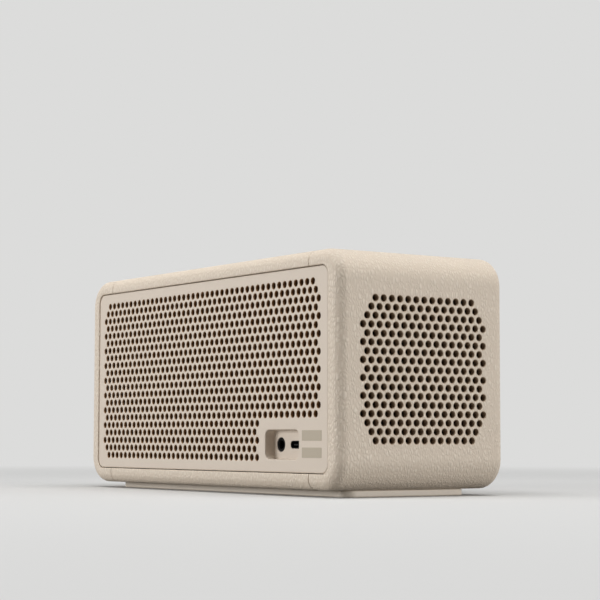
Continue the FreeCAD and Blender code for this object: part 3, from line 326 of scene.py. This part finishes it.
# Glass filled nylon of the sockets: black and matt, so that the openings read as dark
blackNylon = grained("black_nylon", "#141312", "#0D0C0C", grain=0.3, relief=0.02, roughness=0.6, ior=1.2)
looks = {
    "cream_silicone": softSilicone,
    "cream_plastic": plastic,
    "black_cloth": litGrilleCloth,
    "black_plastic": blackAbs,
    # Closed cell foam: dull, full of small pores
    "foam": grained("closed_cell_foam", "#2A2A2B", "#17171A", grain=0.6, relief=0.12, roughness=0.95),
    # Zinc plated pressed steel: bluish, softly cloudy
    "steel": grained(
        "zinc_plated_steel", "#C4C6CA", "#A6A8AD", grain=1.2, relief=0.004, roughness=0.34, metallic=1.0),
    # Sintered ferrite: dark and slightly granular
    "ferrite": grained("sintered_ferrite", "#3A3A3C", "#29292B", grain=0.25, relief=0.03, roughness=0.6),
    # Pressed paper pulp: matt with short fibres
    "paper": grained("pressed_paper_pulp", "#24221F", "#171614", grain=0.5, relief=0.05, roughness=0.85),
    # Butyl rubber of the surrounds: soft dark sheen
    "black_rubber": grained(
        "butyl_rubber", "#1C1C1C", "#141414", grain=0.5, relief=0.015, roughness=0.55),
    # Cotton stiffened with phenolic resin: amber, open weave
    "spider_cloth": woven(
        "phenolic_cotton", "#C39A56", "#8F6A33", pitch=0.45, relief=0.1, roughness=0.8, axes=("X", "Z")),
    # Enamelled copper wire, turns drawn as fine streaks
    "copper": grained(
        "enamelled_copper_wire", "#C07A4A", "#9A5A32", grain=0.25, relief=0.02, roughness=0.3,
        metallic=1.0, stretch=(0.1, 1, 0.1)),
    # Silk with a damping coat: dark, with a faint fine weave
    "silk": woven(
        "coated_silk", "#2B2A2C", "#1A191B", pitch=0.2, relief=0.02, roughness=0.6, axes=("X", "Z")),
    # Solder mask over copper: deep green, glossy, faintly mottled
    "circuit_board": grained("solder_mask", "#1C5A34", "#123F25", grain=1.5, relief=0.03, roughness=0.3),
    # Shrink wrap on the cells: smooth, slightly wrinkled
    "cell_wrap": grained(
        "pvc_shrink_wrap", "#2F5E97", "#24497A", grain=2.5, relief=0.05, roughness=0.35),
    # Turned brass: fine rings from the lathe catch the light
    "brass": turned("turned_brass", "#D8BB86", "#CBAA70", pitch=0.35, relief=0.012, roughness=0.3),
    # Frosted polycarbonate of the light pipe: milky, with a soft sheen
    "light_pipe": grained(
        "frosted_polycarbonate", "#EDEAE2", "#E0DCD3", grain=0.4, relief=0.01, roughness=0.4),
}
# Smooth silicone of the foot: paler, so that it shows in the shade
paleSilicone = grained(
    "smooth_pale_silicone", "#E6DBCC", "#E0D4C4", grain=0.8, relief=0.008, roughness=0.5, ior=1.42)
for name, part in nodes.items():
    part.data.materials.clear()
    part.data.materials.append(looks[slotOf[name]])
nodes["end_cap_cloths"].data.materials[0] = shadedCapCloth
nodes["base_plate"].data.materials[0] = paleSilicone
print("materials ready")


# Housing skin: end caps and covers

bodyRight = boxOf("right_end_cap")[1].x
bodyRear = boxOf("top_cover")[1].y
bodyLow, bodyHigh = boxOf("bottom_cover")[0].z, boxOf("top_cover")[1].z
middle = (bodyLow + bodyHigh) / 2
halfTall = (bodyHigh - bodyLow) / 2
grilleHigh = boxOf("rear_grille")[1]
capWallShade = shadedHoleWall(siliconeWall, "X", bodyRight)
grilleWallShade = shadedHoleWall(absWall, "Y", grilleHigh.y)

skin = dict(
    corner=13.5,        # corners seen from the front
    edge=5.0,           # rounding of the front and rear edges
    wall=3.0,
    grilleGap=0.3,      # round each grille
    grilleCorner=4.5,
    windowRound=0.5,    # lip round each grille
    seamRound=0.35,     # lips of the seams between caps and covers
    cornerSteps=20,
    edgeSteps=8,
    windowSteps=3,
)
windowHalfWide = grilleHigh.x + skin["grilleGap"]
windowHalfTall = grilleHigh.z - middle + skin["grilleGap"]
windowCorner = skin["grilleCorner"] + skin["grilleGap"]


def roundEdge(outer, normal, reach):
    # Rear edge of the shell, this far from the axis that it is rounded about
    edge, steps = skin["edge"], skin["edgeSteps"]
    points = []
    for k in range(steps + 1):
        t = math.pi / 2 * k / steps
        inward = edge - reach * math.sin(t)
        points.append((outer - normal * inward, bodyRear - edge + reach * math.cos(t)))
    return points


def skinSection(outer, normal, window, inset):
    # Closed section of the shell at one place on its outline: outside from rear to front, then inside
    lip = reversed(rimSteps(skin["windowRound"], skin["windowSteps"]))
    half = [(window + normal * wider, bodyRear - inset - deep) for wider, deep in lip]
    half += roundEdge(outer, normal, skin["edge"] - inset)
    inner = [(window, bodyRear - skin["wall"])] + roundEdge(outer, normal, skin["edge"] - skin["wall"])
    whole = half + [(p, -y) for p, y in reversed(half)]
    whole += [(p, -y) for p, y in inner] + list(reversed(inner))
    return [(p.x, y, middle + p.y) for p, y in whole]


# Places in a section of the flat band's edges, outside and inside
bandRear = skin["windowSteps"] + skin["edgeSteps"] + 1
bandFront = bandRear + 1
innerFront = 2 * bandFront + skin["edgeSteps"] + 1
innerRear = innerFront + 1


def straightSample(x, side, inset):
    normal = Vector((0, side))
    return Vector((x, side * halfTall)), normal, Vector((x, side * windowHalfTall)), inset


def cornerSamples(side, angles):
    samples = []
    for angle in angles:
        normal = Vector((math.cos(angle), math.sin(angle)))
        turn = Vector((bodyRight - skin["corner"], side * (halfTall - skin["corner"])))
        hole = Vector((windowHalfWide - windowCorner, side * (windowHalfTall - windowCorner)))
        samples.append((turn + normal * skin["corner"], normal, hole + normal * windowCorner, 0))
    return samples


def loftSkin(build, samples, openRow, mirror=1):
    # Lofts the sections. The flat band after openRow is left out, to be filled with openings
    rows = []
    for sample in samples:
        points = [(x * mirror, y, z) for x, y, z in skinSection(*sample)]
        rows.append(addLoop(build, points))
    count = len(rows[0])
    for number, (first, second) in enumerate(zip(rows, rows[1:])):
        for i in range(count):
            if number == openRow and i in (bandRear, innerFront):
                continue
            j = (i + 1) % count
            build["faces"].append((first[i], first[j], second[j], second[i]))
    build["faces"] += [rows[0], rows[-1]]
    first, second = rows[openRow], rows[openRow + 1]
    outside = [first[bandRear], first[bandFront], second[bandFront], second[bandRear]]
    inside = [first[innerRear], first[innerFront], second[innerFront], second[innerRear]]
    return outside, inside


perforation = dict(
    pitch=4.5,
    radius=1.55,
    grilleRim=0.12,     # rounding of the rims in the plastic grilles
    capRim=0.25,        # and of those in the softer end caps
    sides=24,
    grilleRimSteps=1,
    capRimSteps=3,
    rearColumns=45,
    rearRows=21,
    portColumn=33,      # last column beside the port
    portRow=16,         # first row beside the port
    capColumns=16,
    capRows=17,
    capCut=3,           # rows that each cut corner takes
)


def capHoles():
    # Hexagonal field with its four corners cut off
    pitch, rise = perforation["pitch"], perforation["pitch"] * math.sqrt(3) / 2
    last, rows, cut = perforation["capColumns"] - 1, perforation["capRows"], perforation["capCut"]
    centres = []
    for row in range(rows):
        start = 0 if row % 2 else 0.5
        trimmed = max(0, cut - row, row - (rows - 1 - cut)) / 2
        for k in range(int(last - 2 * start) + 1):
            column = start + k
            if trimmed <= column <= last - trimmed:
                centres.append(((column - last / 2) * pitch, ((rows - 1) / 2 - row) * rise))
    return centres


def grilleHoles(besidePort):
    pitch, rise = perforation["pitch"], perforation["pitch"] * math.sqrt(3) / 2
    last, rows = perforation["rearColumns"] - 1, perforation["rearRows"]
    centres = []
    for row in range(rows):
        start = 1 if row in (0, rows - 1) else 0.5 * (row % 2)
        for k in range(int(last - 2 * start) + 1):
            column = start + k
            if besidePort and row >= perforation["portRow"] and column > perforation["portColumn"]:
                continue
            centres.append((-(column - last / 2) * pitch, ((rows - 1) / 2 - row) * rise))
    return centres


def pierce(build, centres, place, rim, rimCount, depth):
    # Round holes with a rounded mouth. Returns their outer and inner loops
    mouths, ends = [], []
    start = len(build["faces"])
    for centre in centres:
        rings = [(perforation["radius"] + wider, deep) for wider, deep in rimSteps(rim, rimCount)]
        rings.append((perforation["radius"], depth))
        loops = stack(build, [
            [place(p, deep) for p in circle(radius, centre, perforation["sides"])]
            for radius, deep in rings])
        mouths.append(loops[0])
        ends.append(loops[-1])
    build["walls"] = list(range(start, len(build["faces"])))
    return mouths, ends


def endCap(side, name, node):
    build = newBuild()
    seam = abs(boxOf(node)[1].x if side < 0 else boxOf(node)[0].x)
    lip = skin["seamRound"]
    turns = [math.pi / 2 * k / skin["cornerSteps"] for k in range(skin["cornerSteps"] + 1)]
    samples = [straightSample(seam, 1, lip), straightSample(seam + lip, 1, 0)]
    samples += cornerSamples(1, reversed(turns))
    samples += cornerSamples(-1, [-t for t in turns])
    samples += [straightSample(seam + lip, -1, 0), straightSample(seam, -1, lip)]
    outside, inside = loftSkin(build, samples, 2 + skin["cornerSteps"], side)
    place = lambda p, deep: (side * (bodyRight - deep), p[0], middle + p[1])
    rim, rimCount = perforation["capRim"], perforation["capRimSteps"]
    mouths, ends = pierce(build, capHoles(), place, rim, rimCount, skin["wall"])
    fill(build, outside, mouths, (1, 2))
    fill(build, inside, ends, (1, 2))
    makePiece(build, name, silicone, replaced=[node], wallMaterial=capWallShade)


endCap(-1, "left_end_cap_shell", "left_end_cap")
endCap(1, "right_end_cap_shell", "right_end_cap")


controls = dict(
    lip=0.4,            # rounding of every opening
    lipSteps=3,
    wellRadius=10.5,
    wellDepth=1.4,
    wellSides=72,
    stemHole=5.0,
    flange=1.2,         # of the rockers and the button, under the cover
    rockerGap=0.5,
    rockerCorner=4.3,
    buttonGap=0.3,
    buttonSides=48,
    lightGap=0.1,
    lightCorner=1.3,
)


def controlPlace(node):
    low, high = boxOf(node)
    return (high - low) / 2, ((low.x + high.x) / 2, (low.y + high.y) / 2)


def roundedOpening(node, grow, corner):
    half, centre = controlPlace(node)
    return lambda wider: roundedRect(half.x + grow + wider, half.y + grow + wider, corner + wider, centre)


def controlOpenings():
    # Each opening: its outline at a given widening, and its steps of widening and depth
    look, wall = controls, skin["wall"]
    rim = rimSteps(look["lip"], look["lipSteps"])
    well = look["wellRadius"]
    toStem = look["stemHole"] - well
    wellSteps = rim + [(0, look["wellDepth"]), (toStem, look["wellDepth"]), (toStem, wall)]
    straight = rim + [(0, wall)]
    buttonHalf, buttonCentre = controlPlace("pair_button")
    buttonRadius = buttonHalf.x - look["flange"] + look["buttonGap"]
    rockerGrow = look["rockerGap"] - look["flange"]
    return [
        (lambda wider: circle(well + wider, count=look["wellSides"]), wellSteps),
        (roundedOpening("bass_rocker", rockerGrow, look["rockerCorner"]), straight),
        (roundedOpening("treble_rocker", rockerGrow, look["rockerCorner"]), straight),
        (lambda wider: circle(buttonRadius + wider, buttonCentre, look["buttonSides"]), straight),
        (roundedOpening("charge_light", look["lightGap"], look["lightCorner"]), straight),
    ]


def topCover():
    build = newBuild()
    low, high = boxOf("top_cover")
    lip = skin["seamRound"]
    samples = [straightSample(low.x, 1, lip), straightSample(low.x + lip, 1, 0)]
    samples += [straightSample(high.x - lip, 1, 0), straightSample(high.x, 1, lip)]
    outside, inside = loftSkin(build, samples, 1)
    mouths, ends = [], []
    for outline, steps in controlOpenings():
        rings = [[(u, v, bodyHigh - deep) for u, v in outline(wider)] for wider, deep in steps]
        loops = stack(build, rings)
        mouths.append(loops[0])
        ends.append(loops[-1])
    fill(build, outside, mouths, (0, 1))
    fill(build, inside, ends, (0, 1))
    makePiece(build, "top_cover_shell", silicone, replaced=["top_cover"])


ribs = dict(offset=22.0, wide=3.0, top=9.8, fromEnd=1.0)


def bottomCover():
    build = newBuild()
    low, high = boxOf("bottom_cover")
    lip = skin["seamRound"]
    samples = [straightSample(low.x, -1, lip), straightSample(low.x + lip, -1, 0)]
    samples += [straightSample(high.x - lip, -1, 0), straightSample(high.x, -1, lip)]
    outside, inside = loftSkin(build, samples, 1)
    inner = build["points"][inside[0]][2]
    feet = []
    for side in (-1, 1):
        halfLong = (high.x - low.x) / 2 - ribs["fromEnd"]
        outline = [
            (su * halfLong, side * ribs["offset"] + sv * ribs["wide"] / 2)
            for su, sv in ((1, 1), (-1, 1), (-1, -1), (1, -1))]
        foot, crest = stack(build, [[(u, v, z) for u, v in outline] for z in (inner, ribs["top"])])
        feet.append(foot)
        fill(build, crest, [], (0, 1))
    fill(build, outside, [], (0, 1))
    fill(build, inside, feet, (0, 1))
    node = "bottom_cover"
    makePiece(build, "bottom_cover_shell", silicone, replaced=[node])


topCover()
bottomCover()


knob = dict(
    flutes=56,
    perFlute=6,         # points along one flute
    fluteDepth=0.2,
    foot=0.3,           # bevel at the foot
    topRound=1.2,
    roundSteps=6,
    socket=3.05,
    roof=1.0,           # over the socket for the stem
)


def controlKnob():
    # Turned knob: a finely fluted side under a plain rounded top
    build = newBuild()
    low, high = boxOf("control_knob")
    radius, count = (high.x - low.x) / 2, knob["flutes"] * knob["perFlute"]

    def ring(reach, z, flute=0.0):
        points = []
        for k in range(count):
            turn = 2 * math.pi * k / count
            r = reach - flute * (1 - abs(math.sin(turn * knob["flutes"] / 2)))
            points.append((r * math.cos(turn), r * math.sin(turn), z))
        return points

    rings = [ring(knob["socket"], high.z - knob["roof"]), ring(knob["socket"], low.z)]
    rings += [ring(radius - knob["foot"], low.z)]
    rings += [ring(radius, low.z + knob["foot"], knob["fluteDepth"])]
    rings += [ring(radius, high.z - knob["topRound"], knob["fluteDepth"])]
    for inset, deep in reversed(rimSteps(knob["topRound"], knob["roundSteps"])[:-1]):
        rings.append(ring(radius - inset, high.z - deep))
    loops = stack(build, rings)
    fill(build, loops[0], [], (0, 1))
    fill(build, loops[-1], [], (0, 1))
    makePiece(build, "fluted_knob", looks["brass"], "knob", ["control_knob"])


controlKnob()


# Grilles

plate = dict(wall=1.1, rim=2.0, rimDepth=4.6, edgeRound=0.6, edgeSteps=4)
port = dict(
    centre=(-69.85, -33.0),
    halfWide=13.65,
    halfTall=6.6,
    corner=3.0,
    depth=4.8,
    wall=1.6,
    lip=0.5,            # rounding of the mouth
    fillet=0.25,        # rounding along the floor
    roundSteps=4,
    jackSides=40,
    jackOffset=7.55,
    jackHole=3.35,
    usbOffset=-4.65,
    usbHalf=(4.62, 1.78),
    usbCorner=1.63,
)


def portRecess(build, place):
    # Moulded cup for the two sockets. Returns its mouth in the face and its foot in the back
    u, v = port["centre"]
    depth, wall, fillet = port["depth"], port["wall"], port["fillet"]
    outline = lambda wider: roundedRect(
        port["halfWide"] + wider, port["halfTall"] + wider, port["corner"] + wider, port["centre"])
    steps = rimSteps(port["lip"], port["roundSteps"])
    floorSteps = rimSteps(fillet, port["roundSteps"])
    steps += [(wider - fillet, depth - fillet + deep) for wider, deep in floorSteps]
    inner = stack(build, [[place(p, deep) for p in outline(wider)] for wider, deep in steps])
    depths = (plate["wall"], depth + wall)
    outer = stack(build, [[place(p, deep) for p in outline(wall)] for deep in depths])
    holes = [
        circle(port["jackHole"], (u + port["jackOffset"], v), port["jackSides"]),
        roundedRect(*port["usbHalf"], port["usbCorner"], (u + port["usbOffset"], v)),
    ]
    depths = (depth, depth + wall)
    through = [stack(build, [[place(p, deep) for p in hole] for deep in depths]) for hole in holes]
    fill(build, inner[-1], [loops[0] for loops in through], (0, 2))
    fill(build, outer[-1], [loops[-1] for loops in through], (0, 2))
    return inner[0], outer[0]


def grille(name, node, sign, withPort):
    build = newBuild()
    low, high = boxOf(node)
    face = high.y if sign > 0 else -low.y
    halfHigh = (high.z - low.z) / 2
    place = lambda p, deep: (p[0], sign * (face - deep), middle + p[1])
    outline = lambda inset: roundedRect(high.x - inset, halfHigh - inset, skin["grilleCorner"] - inset)
    steps = rimSteps(plate["edgeRound"], plate["edgeSteps"])
    steps += [(0, plate["rimDepth"]), (plate["rim"], plate["rimDepth"]), (plate["rim"], plate["wall"])]
    loops = stack(build, [[place(p, deep) for p in outline(inset)] for inset, deep in steps])
    rim, rimCount = perforation["grilleRim"], perforation["grilleRimSteps"]
    mouths, ends = pierce(build, grilleHoles(withPort), place, rim, rimCount, plate["wall"])
    if withPort:
        mouth, foot = portRecess(build, place)
        mouths.append(mouth)
        ends.append(foot)
    fill(build, loops[0], mouths, (0, 2))
    fill(build, loops[-1], ends, (0, 2))
    makePiece(build, name, plastic, replaced=[node], wallMaterial=grilleWallShade)


grille("rear_grille_plate", "rear_grille", 1, True)
grille("front_grille_plate", "front_grille", -1, False)


# Sockets and printed fields beside them

floorY = boxOf("aux_jack")[1].y
jack = dict(
    ring=3.2,
    ringRound=0.35,
    roundSteps=4,
    sides=40,
    throat=2.45,        # start of the funnel into the bore
    bore=1.8,
    boreDepth=13.0,
    funnel=0.6,
    collar=1.8,
    bodyHalf=(4.5, 3.5),
    bodyCorner=0.4,
    cornerSteps=3,
    bodyDepth=15.1,
)
usb = dict(
    half=(4.47, 1.63),
    corner=1.6,
    wall=0.3,
    lipSteps=2,
    depth=8.0,
    tongueHalf=(3.3, 0.35),
    tongueCorner=0.315,
    tongueStart=1.0,
    cornerSteps=3,
)
fields = dict(
    left=-101.4, right=-86.1,
    rows=((24.75, 29.4), (17.25, 21.8)),
    thick=0.06,         # ink stands proud by this much
    corner=0.3,
    cornerSteps=3,
)


def fromFloor(p, deep):
    return (p[0], floorY - deep, middle + p[1])


def audioSocket():
    build = newBuild()
    u, v = port["centre"]
    centre = (u + port["jackOffset"], v)
    steps = [(jack["ring"], jack["collar"])]
    rounding = reversed(rimSteps(jack["ringRound"], jack["roundSteps"]))
    steps += [(jack["ring"] - inset, deep) for inset, deep in rounding]
    steps += [(jack["throat"], 0), (jack["bore"], jack["funnel"]), (jack["bore"], jack["boreDepth"])]
    loops = stack(build, [
        [fromFloor(p, deep) for p in circle(radius, centre, jack["sides"])] for radius, deep in steps])
    block = roundedRect(*jack["bodyHalf"], jack["bodyCorner"], centre, jack["cornerSteps"])
    depths = (jack["collar"], jack["bodyDepth"])
    ends = stack(build, [[fromFloor(p, deep) for p in block] for deep in depths])
    fill(build, loops[-1], [], (0, 2))
    fill(build, ends[0], [loops[0]], (0, 2))
    fill(build, ends[1], [], (0, 2))
    makePiece(build, "audio_socket", blackNylon, replaced=["aux_jack"])


def chargingSocket():
    build = newBuild()
    u, v = port["centre"]
    centre = (u + port["usbOffset"], v)
    outline = lambda inset: roundedRect(
        usb["half"][0] - inset, usb["half"][1] - inset, usb["corner"] - inset, centre)
    lip = usb["wall"] / 2
    rounding = rimSteps(lip, usb["lipSteps"])
    steps = [(0, usb["depth"])] + list(reversed(rounding))
    steps += [(usb["wall"] - inset, deep) for inset, deep in rounding[1:]]
    steps += [(usb["wall"], usb["depth"] - usb["wall"])]
    loops = stack(build, [[fromFloor(p, deep) for p in outline(inset)] for inset, deep in steps])
    fill(build, loops[0], [], (0, 2))
    fill(build, loops[-1], [], (0, 2))
    makePiece(build, "charging_socket", blackNickel, replaced=["usb_socket"])
    build = newBuild()
    tongue = roundedRect(*usb["tongueHalf"], usb["tongueCorner"], centre, usb["cornerSteps"])
    depths = (usb["tongueStart"], usb["depth"] - usb["wall"])
    ends = stack(build, [[fromFloor(p, deep) for p in tongue] for deep in depths])
    fill(build, ends[0], [], (0, 2))
    fill(build, ends[1], [], (0, 2))
    makePiece(build, "charging_tongue", blackNylon)


def printedFields():
    build = newBuild()
    halfWide = (fields["right"] - fields["left"]) / 2
    face = grilleHigh.y
    for low, high in fields["rows"]:
        centre = ((fields["left"] + fields["right"]) / 2, (low + high) / 2)
        outline = roundedRect(halfWide, (high - low) / 2, fields["corner"], centre, fields["cornerSteps"])
        ends = stack(build, [[(u, y, v) for u, v in outline] for y in (face, face + fields["thick"])])
        fill(build, ends[0], [], (0, 2))
        fill(build, ends[1], [], (0, 2))
    makePiece(build, "printed_fields", inkField)


audioSocket()
chargingSocket()
printedFields()


# Camera, in metres and degrees

view = dict(
    lens=106.15, sensor=36.0,
    place=(-0.73447, 0.48598, 0.02552),
    turn=(94.4927, -0.1126, -124.0924),
)


def addCamera():
    data = bpy.data.cameras.new("photo_view")
    data.lens, data.sensor_width = view["lens"], view["sensor"]
    camera = bpy.data.objects.new("photo_view", data)
    camera.location = view["place"]
    camera.rotation_euler = [math.radians(angle) for angle in view["turn"]]
    bpy.context.scene.collection.objects.link(camera)
    bpy.context.scene.camera = camera


addCamera()
print("camera ready")


# Floor and light

stage = dict(
    floor="#D8D8D7",
    thrown="#8E8C89",   # what the floor throws back at the part, as a darker table would
    far="#DCDCDB",      # backdrop that the floor fades into
    size=40.0,
    near=0.25,          # the fade starts and ends this far from the part
    away=0.9,
    roughness=0.85,
)
lamps = [
    dict(name="top_softbox", place=(-0.2, 0.1, 1.4), size=(1.4, 1.0), power=19),
    dict(name="rear_softbox", place=(1.0, 1.95, 0.4), size=(1.4, 0.75), power=31),
    dict(name="end_softbox", place=(-1.7, -1.05, 0.28), size=(1.2, 0.55), power=19),
]
ambient = dict(colour="#FFFFFF", strength=0.05)


def seenRays(tree):
    # 1 for rays from the camera, or by way of a mirror or glass
    rays = tree.nodes.new("ShaderNodeLightPath")
    mirrored = addNode(tree, "ShaderNodeMath", {
        0: rays.outputs["Is Glossy Ray"], 1: rays.outputs["Is Transmission Ray"]}, operation="MAXIMUM")
    return addNode(tree, "ShaderNodeMath", {
        0: rays.outputs["Is Camera Ray"], 1: mirrored.outputs[0]}, operation="MAXIMUM").outputs[0]


def addFloor():
    # Pale painted floor. Far from the part it shows the backdrop's own colour, so that no edge shows
    material, tree, surface, place = newMaterial("painted_studio_floor", Roughness=stage["roughness"])
    seen = seenRays(tree)
    paint = addNode(tree, "ShaderNodeMix", {
        0: seen, mixA: fromHex(stage["thrown"]), mixB: fromHex(stage["floor"])}, data_type="RGBA")
    tree.links.new(paint.outputs[mixOut], surface.inputs["Base Color"])
    distance = addNode(tree, "ShaderNodeVectorMath", {0: place}, operation="LENGTH")
    fade = addNode(tree, "ShaderNodeMapRange", {
        "Value": distance.outputs["Value"], "From Min": stage["near"], "From Max": stage["away"]},
        interpolation_type="SMOOTHSTEP")
    plain = addNode(tree, "ShaderNodeEmission", {"Color": fromHex(stage["far"]), "Strength": 1.0})
    shown = addNode(tree, "ShaderNodeMath", {0: fade.outputs[0], 1: seen}, operation="MULTIPLY")
    mixed = addNode(tree, "ShaderNodeMixShader", {
        0: shown.outputs[0], 1: surface.outputs[0], 2: plain.outputs[0]})
    tree.links.new(mixed.outputs[0], tree.nodes["Material Output"].inputs["Surface"])
    half = stage["size"] / 2
    mesh = bpy.data.meshes.new("studio_floor")
    corners = [(-half, -half, 0), (half, -half, 0), (half, half, 0), (-half, half, 0)]
    mesh.from_pydata(corners, [], [(0, 1, 2, 3)])
    mesh.materials.append(material)
    floor = bpy.data.objects.new("studio_floor", mesh)
    bpy.context.scene.collection.objects.link(floor)


def addLight():
    target = Vector((0, 0, middle * mm))
    for lamp in lamps:
        data = bpy.data.lights.new(lamp["name"], "AREA")
        data.shape = "RECTANGLE"
        data.size, data.size_y = lamp["size"]
        data.energy = lamp["power"]
        light = bpy.data.objects.new(lamp["name"], data)
        light.location = lamp["place"]
        light.rotation_euler = (target - light.location).to_track_quat("-Z", "Y").to_euler()
        bpy.context.scene.collection.objects.link(light)
    world = bpy.data.worlds.new("studio")
    world.use_nodes = True
    tree = world.node_tree
    glow = tree.nodes["Background"]
    glow.inputs["Color"].default_value = fromHex(ambient["colour"])
    glow.inputs["Strength"].default_value = ambient["strength"]
    backdrop = addNode(tree, "ShaderNodeBackground", {"Color": fromHex(stage["far"]), "Strength": 1.0})
    mixed = addNode(tree, "ShaderNodeMixShader", {
        0: seenRays(tree), 1: glow.outputs[0], 2: backdrop.outputs[0]})
    tree.links.new(mixed.outputs[0], tree.nodes["World Output"].inputs["Surface"])
    bpy.context.scene.world = world


addFloor()
addLight()
print("floor and light ready")
bpy.context.scene.view_settings.view_transform = "Standard"
